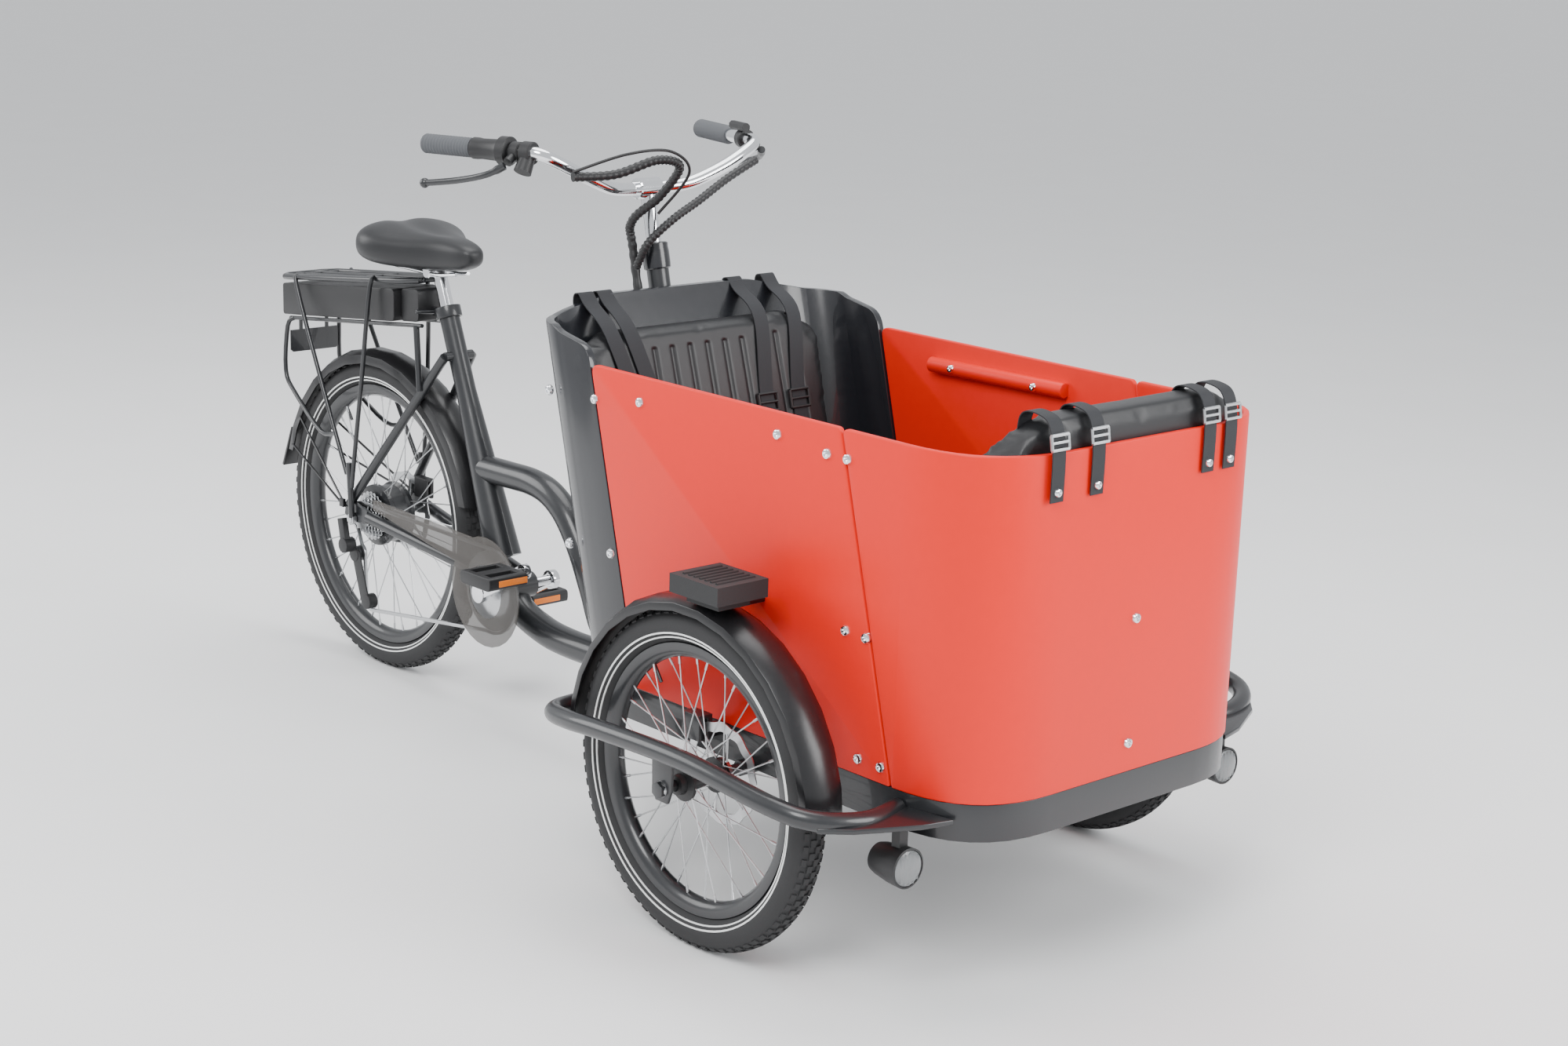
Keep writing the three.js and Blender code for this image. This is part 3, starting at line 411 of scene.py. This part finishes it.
def brake_disc(wheel, y, name, node, body):
    """A wavy rotor on six arms."""
    bm = bmesh.new()
    outer, inner = [], []
    steps = 96
    for k in range(steps):
        angle = math.tau * k / steps
        wave = 1.6 * math.cos(angle * 12)
        outer.append([ring_point(wheel, y + h, 78 + wave, angle) for h in (-1, 1)])
        inner.append([ring_point(wheel, y + h, 63 + wave, angle) for h in (-1, 1)])
    ring = [[bm.verts.new(p) for p in (o[0], o[1], i[1], i[0])] for o, i in zip(outer, inner)]
    for k in range(steps):
        for j in range(4):
            following = ring[(k + 1) % steps]
            bm.faces.new((ring[k][j], ring[k][(j + 1) % 4], following[(j + 1) % 4], following[j]))
    for k in range(6):
        angle = math.tau * k / 6
        add_tube(bm, [ring_point(wheel, y, 20, angle), ring_point(wheel, y, 66, angle + 0.35)], 2.6, 6)
    add_turned(bm, [(9, -3), (24, -3), (24, 3), (9, 3)], at(wheel["x"], y, wheel["z"]), (0, 1, 0), 32)
    show(bm, name, STEEL, body, [node])


def front_wheel(side, sign):
    body, y = "front_wheel_" + side, sign * FRONT_Y
    tyre(FRONT_WHEEL, y, "tyre_" + side, "front_tyre_" + side, body)
    rim(FRONT_WHEEL, y, "rim_" + side, "front_rim_" + side, body)
    spokes(FRONT_WHEEL, y, "spokes_" + side, body, 24, 30)
    brake_disc(FRONT_WHEEL, sign * FRONT_DISC_Y, "brake_disc_" + side, "front_brake_disc_" + side, body)
    bm = bmesh.new()
    profile = [(9, -48), (15, -46), (16, -36), (27, -33), (27, -28), (17, -24), (13, 0), (17, 24), (27, 28),
               (27, 33), (16, 36), (15, 46), (9, 48)]
    add_turned(bm, profile, at(0, y, 260), (0, 1, 0), 40)
    show(bm, "hub_" + side, PLASTIC, body, ["front_hub_spokes_" + side])


def rear_wheel():
    tyre(REAR_WHEEL, 0, "tyre_rear", "rear_tyre", "rear_wheel")
    rim(REAR_WHEEL, 0, "rim_rear", "rear_rim", "rear_wheel")
    spokes(REAR_WHEEL, 0, "spokes_rear", "rear_wheel", 58, 22, lead=0.3)
    brake_disc(REAR_WHEEL, 47, "brake_disc_rear", "rear_brake_disc", "rear_wheel")
    bm = bmesh.new()
    profile = [(9, -33), (22, -33), (24, -30), (52, -28), (60, -26), (61, -18), (56, -14), (56, 14), (61, 18),
               (60, 26), (50, 29), (34, 31), (30, 44), (9, 44)]
    add_turned(bm, profile, at(-1444, 0, 308), (0, 1, 0), 56)
    show(bm, "hub_motor", BLACK, "rear_wheel", ["rear_hub_motor"])
    bm = bmesh.new()
    for k in range(7):
        teeth = 12 + 2 * k
        radius = 25 + 3.6 * k
        y = -61 + 4 * k
        outline = []
        for j in range(teeth * 4):
            angle = math.tau * j / (teeth * 4)
            outline.append(ring_point(REAR_WHEEL, y, radius + (1.6 if j % 4 < 2 else -1.6), angle))
        add_plate(bm, outline, (0, 1.8, 0))
    show(bm, "sprockets", STEEL, "rear_wheel", ["rear_sprockets"])


# ---------- box ----------
def box_panels():
    for side, _ in SIDES:
        refined("side_panel_" + side, "red_side_" + side, RED, 3.0)
    refined("front_panel", "red_front", RED, 3.0)
    refined("rear_wall", "rear_wall_shell", PANEL, 3.0)
    refined("box_frame", "box_rail", BLACK, 2.0)
    refined("box_floor", "floor_board", BOARD, 1.0)
    refined("bench_seat", "bench_box", BOARD, 3.0)


PANEL_BOLTS = ((-383, 755), (-337, 516), (-272, 769), (42, 776), (147, 767), (198, 519), (234, 337),
               (189, 767), (240, 518), (280, 337), (-500, 750), (-443, 510))


def panel_bolts():
    for side, sign in SIDES:
        bm = bmesh.new()
        for x, z in PANEL_BOLTS:
            add_bolt(bm, at(x, sign * BOX_HALF, z), (0, sign, 0), 8.5)
        show(bm, "panel_bolts_" + side, CHROME, "front_module")
        bm = bmesh.new()
        top = [at(-262, sign * 303, 766), at(38, sign * 303, 770)]
        add_tube(bm, top, 13, 16)
        show(bm, "side_batten_" + side, RED, "front_module", bevel=2)
        bm = bmesh.new()
        for x in (-205, -20):
            add_bolt(bm, at(x, sign * 291, 768), (0, -sign, 0), 7)
        show(bm, "batten_bolts_" + side, CHROME, "front_module")
    bm = bmesh.new()
    for z in (545, 357):
        add_bolt(bm, at(FRONT_FACE, 0, z), (1, 0, 0), 8.5)
    show(bm, "front_bolts", CHROME, "front_module")


def front_fenders():
    for side, sign in SIDES:
        refined("front_fender_" + side, "fender_" + side, FENDER, 3.0)
        bm = bmesh.new()
        add_block(bm, at(41, sign * STEP_Y, 568), (106, 96, 28))
        add_block(bm, at(41, sign * STEP_Y, 549), (70, 60, 16))
        round_edges(bm, 9, segments=4)
        for k in range(7):
            ends = [at(5 + 12 * k, sign * STEP_Y + reach, 582) for reach in (-36, 36)]
            add_tube(bm, ends, 2.6, 8)
        show(bm, "step_" + side, RUBBER, "front_module", ["step_pad_" + side])


BUMPER = ((318, 322, 287), (334, 400, 290), (306, 470, 298), (240, 497, 308), (66, 503, 324),
          (-120, 500, 318),
          (-220, 492, 308), (-284, 470, 300), (-312, 412, 294), (-314, 322, 290))
WING = ((300, 320.5), (408, 300.5), (396, 350), (352, 440), (318, 478), (309, 440), (309, 360))


def bumpers():
    for side, sign in SIDES:
        bm = bmesh.new()
        line = [at(x, sign * y, z) for x, y, z in BUMPER]
        add_tube(bm, smooth_path(line, 8), 15, 20)
        show(bm, "bumper_" + side, BLACK, "front_module", ["bumper_bar_" + side])
        bm = bmesh.new()
        add_plate(bm, [at(x, sign * y, 284) for x, y in WING], (0, 0, 8))
        plate = [(-24, 330), (24, 330), (22, 262), (14, 240), (-14, 240), (-22, 262)]
        add_plate(bm, [at(x, sign * 487.5 - 3, z) for x, z in plate], (0, 6, 0))
        show(bm, "bumper_plates_" + side, BLACK, "front_module", bevel=2)
        bm = bmesh.new()
        add_bolt(bm, at(0, sign * 490, 260), (0, sign, 0), 13, 8)
        show(bm, "axle_nut_" + side, STEEL, "front_module")


LAMP_Y, LAMP_Z = 352, 221


def headlights():
    for side, sign in SIDES:
        middle = at(0, sign * LAMP_Y, LAMP_Z)
        bm = bmesh.new()
        shell = [(0.01, 312), (14, 312), (22, 315), (25, 325), (29, 352), (30, 374), (27, 375), (26, 370),
                 (0.01, 368)]
        add_turned(bm, shell, middle, (1, 0, 0), 40)
        add_block(bm, at(355, sign * LAMP_Y, 266), (16, 16, 36))
        show(bm, "lamp_" + side, PLASTIC, "front_module", ["headlight_" + side])
        bm = bmesh.new()
        add_turned(bm, [(0.01, 370), (26, 370), (26, 374), (18, 378), (0.01, 379)], middle, (1, 0, 0), 32)
        for k in range(-2, 3):
            reach = math.sqrt(24**2 - (k * 8) ** 2)
            rib_y = sign * LAMP_Y + k * 8
            add_tube(bm, [at(376.5, rib_y, LAMP_Z + rise) for rise in (-reach, reach)], 1.5, 6)
        show(bm, "lamp_lens_" + side, CLEAR, "front_module")


# ---------- soft goods ----------
def stuffed(node, name, puff, creases):
    """A vinyl cushion: the CAD solid, blown up a little as cloth, then drawn in along its sewn channels."""
    bm = bmesh.new()
    bm.from_mesh(frame["nodes"][node].data)
    bmesh.ops.remove_doubles(bm, verts=bm.verts, dist=0.00005)
    piece = show(bm, name, VINYL, body_of(node), [node])
    middle = centre_of(node)
    piece.data.transform(Matrix.Translation(middle) @ Matrix.Scale(0.975, 4) @ Matrix.Translation(-middle))
    remesh = piece.modifiers.new("remesh", "REMESH")
    remesh.mode = "VOXEL"
    remesh.voxel_size = 0.007
    soften = piece.modifiers.new("soften", "SMOOTH")
    soften.iterations = 4
    apply_modifiers(piece)
    blow_up(piece, puff)
    finer = piece.modifiers.new("finer", "SUBSURF")
    finer.levels = 1
    apply_modifiers(piece)
    for vertex in piece.data.vertices:
        vertex.co -= creases(vertex.co)
    piece.data.shade_smooth()
    return piece


def apply_modifiers(piece):
    """The modifiers' result becomes the mesh."""
    bpy.context.view_layer.update()
    graph = bpy.context.evaluated_depsgraph_get()
    mesh = bpy.data.meshes.new_from_object(piece.evaluated_get(graph))
    piece.modifiers.clear()
    piece.data = mesh


CLOTH_FRAMES = 12


def blow_up(piece, puff):
    """A few frames of cloth under pressure, with no point moving further than puff millimetres."""
    before = [v.co.copy() for v in piece.data.vertices]
    cloth = piece.modifiers.new("cloth", "CLOTH")
    cloth.settings.quality = 4
    cloth.settings.use_pressure = True
    cloth.settings.uniform_pressure_force = 4
    cloth.settings.effector_weights.gravity = 0
    cloth.point_cache.frame_start = 1
    cloth.point_cache.frame_end = CLOTH_FRAMES
    scene = bpy.context.scene
    for step in range(1, CLOTH_FRAMES + 1):
        scene.frame_set(step)
    apply_modifiers(piece)
    scene.frame_set(1)
    for vertex, start in zip(piece.data.vertices, before):
        moved = vertex.co - start
        limit = puff / 1000
        if moved.length > limit:
            vertex.co = start + moved * (limit / moved.length)


def groove(distance, width, depth):
    """How deep a sewn groove is at that distance from its line, in metres."""
    return depth / 1000 * math.exp(-((distance * 1000 / width) ** 2))


def back_creases(place):
    y = place.y * 1000
    deep = 0.0
    edge_top = (0.80 - place.z) * 1000
    if abs(y) < 190 and edge_top > 0:
        nearest = round(y / 38) * 38
        deep = groove((y - nearest) / 1000, 3.2, 5)
    deep = max(deep, groove((abs(y) - 193) / 1000, 3.5, 6))
    low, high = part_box("backrest_cushion")
    facing = (place.x - low.x) / (high.x - low.x)
    return Vector((deep if facing > 0.3 else 0, 0, 0))


def seat_creases(place):
    deep = groove(abs(place.y) - 0.145, 3.5, 5)
    low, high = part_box("seat_cushion")
    return Vector((0, 0, deep if place.z > (low.z + high.z) / 2 else 0))


PAD_STRAPS = (-190, -108, 134, 182)


def pad_creases(place):
    deep = sum(groove(place.y - y / 1000, 14, 3) for y in PAD_STRAPS)
    return Vector((deep * 0.4, 0, 0))


def cushions():
    stuffed("backrest_cushion", "backrest", 7, back_creases)
    stuffed("seat_cushion", "seat_pad", 7, seat_creases)
    stuffed("front_pad", "front_roll", 5, pad_creases)


def strap(name, points, width, across, thickness=1.8, body="front_module"):
    """A flat webbing strap that lies along the points, in station millimetres."""
    line = smooth_path([at(*p) for p in points], 6)
    across = Vector(across).normalized() * width / 2000
    bm = bmesh.new()
    rings = []
    for i, point in enumerate(line):
        along = (line[min(i + 1, len(line) - 1)] - line[max(i - 1, 0)]).normalized()
        out = along.cross(across).normalized() * thickness / 2000
        corners = (point - across - out, point + across - out, point + across + out, point - across + out)
        rings.append([bm.verts.new(c) for c in corners])
    for low, high in zip(rings, rings[1:]):
        for k in range(4):
            bm.faces.new((low[k], low[(k + 1) % 4], high[(k + 1) % 4], high[k]))
    bm.faces.new(rings[0][::-1])
    bm.faces.new(rings[-1])
    piece = show(bm, name, WEBBING, body)


def buckle(name, place, across, along, wide=42, tall=30, material=None):
    """A ladder-lock buckle: a rounded frame with one bar across the middle."""
    across, along = Vector(across).normalized(), Vector(along).normalized()
    middle = at(*place)
    bm = bmesh.new()
    corners = ((-1, -1), (1, -1), (1, 1), (-1, 1))
    loop = [middle + (across * a * wide / 2 + along * b * tall / 2) / 1000 for a, b in corners]
    for a, b in zip(loop, loop[1:] + loop[:1]):
        add_tube(bm, [a, b], 2.6, 8)
    add_tube(bm, [middle - across * wide / 2000, middle + across * wide / 2000], 2.4, 8)
    show(bm, name, material or STEEL, "front_module")


def harness():
    """Two pairs of shoulder straps that hang over the rear wall and down the backrest."""
    for k, (top, low) in enumerate(((-196, -168), (-158, -130), (124, 108), (200, 180))):
        face = lean_x(WALL_FOOT, 830) + 52
        points = [(lean_x(-432, 700) - 8, top, 720), (lean_x(-432, 860) - 8, top, 860), (-571, top, 886),
                  (lean_x(WALL_FOOT, 870) + 8, top, 868), (face, top, 826),
                  (lean_x(WALL_FOOT, 700) + 59, low, 700),
                  (lean_x(WALL_FOOT, 590) + 64, low, 590)]
        strap(f"harness_strap_{k + 1}", points, 30, (0, 1, 0))
        place = (lean_x(WALL_FOOT, 690) + 62, low, 690)
        buckle(f"harness_buckle_{k + 1}", place, (0, 1, 0), (-BOX_LEAN, 0, 1), material=PLASTIC)


def pad_straps():
    """Four straps hold the front roll and go over the panel's edge to bolts outside."""
    bm = bmesh.new()
    for k, y in enumerate(PAD_STRAPS):
        inner = FRONT_FACE - 66
        top = 859
        points = [(inner + 4, y, 770), (inner + 3, y, 835), (inner + 12, y, top), (inner + 38, y, top + 2),
                  (FRONT_FACE - 6, y, 850), (FRONT_FACE + 4, y, 812), (FRONT_FACE + 4, y, 742)]
        strap(f"pad_strap_{k + 1}", points, 26, (0, 1, 0))
        buckle(f"pad_buckle_{k + 1}", (FRONT_FACE + 5, y, 826), (0, 1, 0), (-0.15, 0, 1), 34, 20)
        add_bolt(bm, at(FRONT_FACE + 5, y, 756), (1, 0, 0), 7)
    show(bm, "pad_strap_bolts", CHROME, "front_module")


# ---------- steering ----------
GRIP_START, GRIP_END = (-651, 235, 1105), (-871, 301, 1104)


def on_grip(sign, t):
    start = Vector((GRIP_START[0], sign * GRIP_START[1], GRIP_START[2]))
    end = Vector((GRIP_END[0], sign * GRIP_END[1], GRIP_END[2]))
    return end + (start - end).normalized() * t


def off_grip(sign, t, out, drop):
    return on_grip(sign, t) + Vector((0.285 * out, sign * 0.958 * out, -drop))


def steering_parts():
    bm = bmesh.new()
    add_tube(bm, [at(column_x(z), 0, z) for z in (318, 912)], 19, 28)
    add_block(bm, at(-570, 0, 752), (52, 56, 16))
    show(bm, "column_tube", BLACK, "front_module", ["steering_column"])
    bm = bmesh.new()
    heights, radii = (902, 904, 912, 930, 938, 944, 946), (21, 23, 23.5, 23.5, 22.5, 23, 20)
    add_tube(bm, [at(column_x(z), 0, z) for z in heights], radii, 32)
    show(bm, "column_collar", PANEL, "front_module")
    bm = bmesh.new()
    add_tube(bm, [at(column_x(z), 0, z) for z in (944, 1000)], 12.5, 24)
    neck = [at(column_x(1000), 0, 1000), at(column_x(1018), 0, 1018), at(STEM_X, 0, STEM_Z)]
    add_tube(bm, smooth_path(neck, 5), 13, 24)
    add_tube(bm, [at(STEM_X, y, STEM_Z) for y in (-24, -22, 22, 24)], [16, 18, 18, 16], 28)
    show(bm, "quill_stem", CHROME, "front_module", ["stem"])
    half = [on_grip(1, 8), on_grip(1, 100), on_grip(1, 190), GRIP_START, (-636, 206, 1092), (-634, 150, 1066),
            (-644, 86, 1042), (STEM_X, 34, STEM_Z), (STEM_X, 12, STEM_Z)]
    line = [at(*p) for p in half] + [at(p[0], -p[1], p[2]) for p in half[::-1]]
    bm = bmesh.new()
    add_tube(bm, smooth_path(line, 6), 11, 20)
    show(bm, "bar", CHROME, "front_module", ["handlebar"])


def grip(side, sign, length):
    bm = bmesh.new()
    points, radii = [at(*on_grip(sign, 0))], [12]
    for t in range(1, length, 3):
        points.append(at(*on_grip(sign, t)))
        radii.append(16.6 if (t // 3) % 2 else 15.2)
    points.append(at(*on_grip(sign, length)))
    radii.append(12.5)
    add_tube(bm, points, radii, 24)
    show(bm, "hand_grip_" + side, GRIP, "front_module", ["grip_" + side])


def controls():
    grip("right", -1, 101)
    grip("left", 1, 130)
    bm = bmesh.new()
    stops = ((102, 15), (103, 18), (112, 18), (120, 17), (150, 18), (158, 20), (160, 24), (176, 24),
             (178, 20))
    add_tube(bm, [at(*on_grip(-1, t)) for t, r in stops], [r for t, r in stops], 28)
    show(bm, "throttle_sleeve", PLASTIC, "throttle_twist", ["throttle"])
    for side, sign in SIDES:
        bm = bmesh.new()
        add_tube(bm, [at(*on_grip(sign, t)) for t in (181, 183, 198, 200)], [15, 17, 17, 15], 20)
        add_tube(bm, [at(*on_grip(sign, 190)), at(*off_grip(sign, 190, 26, 15))], 8, 14)
        if sign < 0:
            add_tube(bm, [at(*on_grip(sign, t)) for t in (203, 205, 222, 224)], [17, 19, 19, 17], 24)
            add_tube(bm, [at(*on_grip(sign, 214)), at(*off_grip(sign, 214, 18, 30))], [12, 15], 20)
        else:
            add_tube(bm, [at(*off_grip(sign, t, -10, -22)) for t in (218, 162)], 8, 8)
        show(bm, "clamps_" + side, PLASTIC, "front_module")
        bm = bmesh.new()
        stops = ((190, 34, 20), (160, 44, 36), (100, 42, 50), (32, 42, 60))
        blade = [off_grip(sign, *stop) for stop in stops]
        line = smooth_path([at(*p) for p in blade], 6)
        add_tube(bm, line, [7] * 4 + [5.5] * (len(line) - 4), 14)
        ball = line[-1]
        spot = Matrix.Translation(ball)
        bmesh.ops.create_uvsphere(bm, u_segments=20, v_segments=12, radius=0.0085, matrix=spot)
        show(bm, "lever_blade_" + side, BLACK, f"{side}_lever", ["brake_lever_" + side])


def cables():
    def beside(z):
        return (column_x(z) - 4, -44, z)

    right = [(-606, -196, 1070), (-590, -120, 1072), (-568, -50, 1094), (-556, -12, 1082), (-590, -26, 1030),
             (-632, -50, 985), beside(930), beside(700), beside(500), beside(330)]
    left = [(-606, 200, 1078), (-600, 130, 1050), (-592, 62, 1018), (-590, 4, 990), (-606, -36, 950),
            beside(905)]
    bm = bmesh.new()
    for points, radius in ((right, 7), (left, 6.5)):
        line = smooth_path([at(*p) for p in points], 30)
        radii = [radius + (1 if k % 4 < 2 else 0) for k in range(len(line))]
        add_tube(bm, line, radii, 12)
    show(bm, "cable_bundles", PLASTIC, "front_module", ["control_cables"])
    thin = [(-606, -196, 1078), (-560, -120, 1108), (-546, -40, 1110), (-562, 14, 1070), (-600, -20, 1000)]
    bm = bmesh.new()
    add_tube(bm, smooth_path([at(*p) for p in thin], 12), 2.5, 10)
    show(bm, "brake_cable", PLASTIC, "front_module")


# ---------- rear frame ----------
UPPER_TUBE = ((-1125, 462), (-1038, 464), (-965, 464), (-910, 452), (-862, 420), (-820, 365), (-785, 300),
              (-755, 240), (-700, 193))
LOWER_TUBE = ((-1034, 258), (-1004, 217), (-938, 194), (-860, 185), (-700, 186), (-270, 188))


def main_tubes():
    bm = bmesh.new()
    low, high = at(-1055, 0, 303), at(-1238, 0, 749)
    steps = [low.lerp(high, k / 12) for k in range(13)]
    add_tube(bm, steps, [34 - 15 * min(1, k / 8) for k in range(13)], 28)
    add_tube(bm, smooth_path([at(x, 0, z) for x, z in UPPER_TUBE], 5), 25, 24)
    add_tube(bm, smooth_path([at(x, 0, z) for x, z in LOWER_TUBE], 5), 27, 24)
    add_tube(bm, [at(-1016, y, 256) for y in (-34, 34)], 24, 28)
    add_tube(bm, [at(-250, 0, z) for z in (158, 161, 243, 246)], [29, 32, 32, 29], 32)
    for sign in (-1, 1):
        seatstay = [at(-1202, sign * 31, 662), at(-1466, sign * 71, 333)]
        chainstay = [at(-1040, sign * 34, 270), at(-1400, sign * 71, 318)]
        add_tube(bm, seatstay, 9, 16)
        add_tube(bm, chainstay, 12, 16)
        dropout = [(-1400, 306), (-1400, 330), (-1456, 340), (-1474, 336), (-1478, 312), (-1456, 300)]
        add_plate(bm, [at(x, sign * 71 - 4.5, z) for x, z in dropout], (0, 9, 0))
    add_tube(bm, [at(-1202, y, 662) for y in (-31, 31)], 9, 16)
    show(bm, "frame_tubes", BLACK, "rear_frame", ["main_frame"])


def deck_z(x):
    return 768 + (x + 1530) * 0.108


def rack_point(x, y, drop=0):
    return at(x, y, deck_z(x) + drop)


OUTLINE = ((-1290, 30), (-1330, 44), (-1450, 55), (-1600, 62), (-1706, 62), (-1732, 40))


def rack():
    bm = bmesh.new()
    loop = [rack_point(x, y) for x, y in OUTLINE] + [rack_point(x, -y) for x, y in OUTLINE[::-1]]
    add_tube(bm, loop, 6, 14, closed=True)
    for y in (-20, 20):
        add_tube(bm, [rack_point(-1732, y), rack_point(-1284, y)], 4, 10)
    for x, half in ((-1699, 62), (-1480, 57), (-1300, 35)):
        add_tube(bm, [rack_point(x, -half), rack_point(x, half)], 4, 10)
    for sign in (-1, 1):
        add_tube(bm, [rack_point(-1704, sign * 52, -84), rack_point(-1262, sign * 40, -84)], 4, 10)
        legs = (
            ((-1655, 60, deck_z(-1655)), (-1656, 68, deck_z(-1656) - 14), (-1560, 76, 570), (-1456, 84, 396)),
            ((-1400, 50, deck_z(-1400)), (-1398, 66, deck_z(-1398) - 10), (-1412, 76, 600), (-1440, 84, 372)),
            ((-1690, 52, deck_z(-1690) - 84), (-1703, 60, deck_z(-1703) - 100), (-1706, 64, 560),
             (-1668, 67, 520), (-1560, 76, 462), (-1500, 80.5, 470)),
        )
        for leg in legs:
            add_tube(bm, smooth_path([at(x, sign * y, z) for x, y, z in leg], 4), 4.5, 12)
        add_tube(bm, [at(-1448, sign * 84, 420), at(-1440, sign * 84, 312)], 6, 12)
        add_tube(bm, [rack_point(-1280, sign * 41, -84), at(-1256, sign * 50.5, 590)], 6, 12)
    plate = [(-54, 600), (-50, 596), (50, 596), (54, 600), (54, 640), (-54, 640)]
    add_plate(bm, [at(-1704, y, z) for y, z in plate], (5, 0, 0))
    add_tube(bm, [at(-1702, -30, 640), rack_point(-1702, -30, -84)], 4, 8)
    add_tube(bm, [at(-1702, 30, 640), rack_point(-1702, 30, -84)], 4, 8)
    show(bm, "rack_tubes", BLACK, "rear_frame", ["rear_rack"])
    bm = bmesh.new()
    for y in (-38, 38):
        add_bolt(bm, at(-1704, y, 618), (-1, 0, 0), 6)
    show(bm, "rack_bolts", CHROME, "rear_frame")


def rear_parts():
    refined("rear_fender", "mudguard", FENDER, 2.0)
    refined("battery", "battery_case", PLASTIC, 7.0)
    refined("tail_light", "tail_lens", RED_LENS, 3.0)
    refined("controller_box", "controller", PLASTIC, 4.0)
    refined("seat_clamp", "clamp", BLACK, 1.0)
    refined("chain_guard", "guard", SMOKED, 1.0)
    refined("chain", "chain_run", STEEL, 0.8)
    refined("derailleur", "derailleur_cage", PLASTIC, 1.0)
    refined("rear_brake_caliper", "caliper", PLASTIC, 2.0)
    refined("rear_axle", "axle_rod", STEEL, 0.6)
    refined("front_axle", "front_axle_rod", BLACK, 0.8)
    refined("chainring", "ring", STEEL, 0.6)
    for side in ("right", "left"):
        refined("crank_arm_" + side, "crank_" + side, CHROME, 2.5)
        pedal(side)


def pedal(side):
    node = "pedal_" + side
    body = side + "_pedal"
    refined(node, "pedal_body_" + side, PLASTIC, 3.0)
    low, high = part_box(node)
    bm = bmesh.new()
    for x in (low.x, high.x):
        middle = Vector((x, (low.y + high.y) / 2, (low.z + high.z) / 2))
        add_block(bm, middle, (3, (high.y - low.y) * 600, 11))
    show(bm, "pedal_reflectors_" + side, AMBER, body, bevel=0.8)


SADDLE = ((-1143, 10, 862, 846), (-1152, 24, 872, 834), (-1180, 33, 880, 824), (-1220, 42, 884, 819),
          (-1260, 62, 886, 816), (-1300, 90, 889, 815), (-1335, 109, 895, 815), (-1362, 114, 899, 815),
          (-1390, 106, 899, 818), (-1406, 86, 892, 825), (-1413, 50, 878, 838))


def seat():
    bm = bmesh.new()
    foot = at(-1184, 0, 617)
    add_tube(bm, [foot, at(-1266, 0, 817)], 13.2, 24)
    add_tube(bm, [at(-1270, y, 812) for y in (-26, -24, 24, 26)], [10, 12, 12, 10], 20)
    for sign in (-1, 1):
        rail = ((-1350, 40, 817), (-1300, 24, 812), (-1240, 22, 811), (-1190, 14, 817))
        add_tube(bm, smooth_path([at(x, sign * y, z) for x, y, z in rail], 5), 3.6, 10)
    show(bm, "post", CHROME, "saddle_post", ["seat_post"])
    bm = bmesh.new()
    rings = []
    for x, half, top, bottom in SADDLE:
        ring = []
        for k in range(32):
            angle = math.tau * k / 32
            across = math.copysign(abs(math.cos(angle)) ** 0.75, math.cos(angle))
            rise = math.copysign(abs(math.sin(angle)) ** 0.75, math.sin(angle))
            dip = 7 * math.exp(-((half * across / 16) ** 2)) if rise > 0.5 and half > 60 else 0
            height = (top + bottom) / 2 + rise * (top - bottom) / 2 - dip
            ring.append(bm.verts.new(at(x, half * across, height)))
        rings.append(ring)
    for low, high in zip(rings, rings[1:]):
        for k in range(32):
            bm.faces.new((low[k], low[(k + 1) % 32], high[(k + 1) % 32], high[k]))
    bm.faces.new(rings[0])
    bm.faces.new(rings[-1])
    cover = show(bm, "saddle_cover", VINYL, "saddle_post", ["saddle"])
    finer = cover.modifiers.new("finer", "SUBSURF")
    finer.levels = 2
    apply_modifiers(cover)
    cover.data.shade_smooth()


for side, sign in SIDES:
    front_wheel(side, sign)
rear_wheel()
box_panels()
panel_bolts()
front_fenders()
bumpers()
headlights()
cushions()
harness()
pad_straps()
steering_parts()
controls()
cables()
main_tubes()
rack()
rear_parts()
seat()
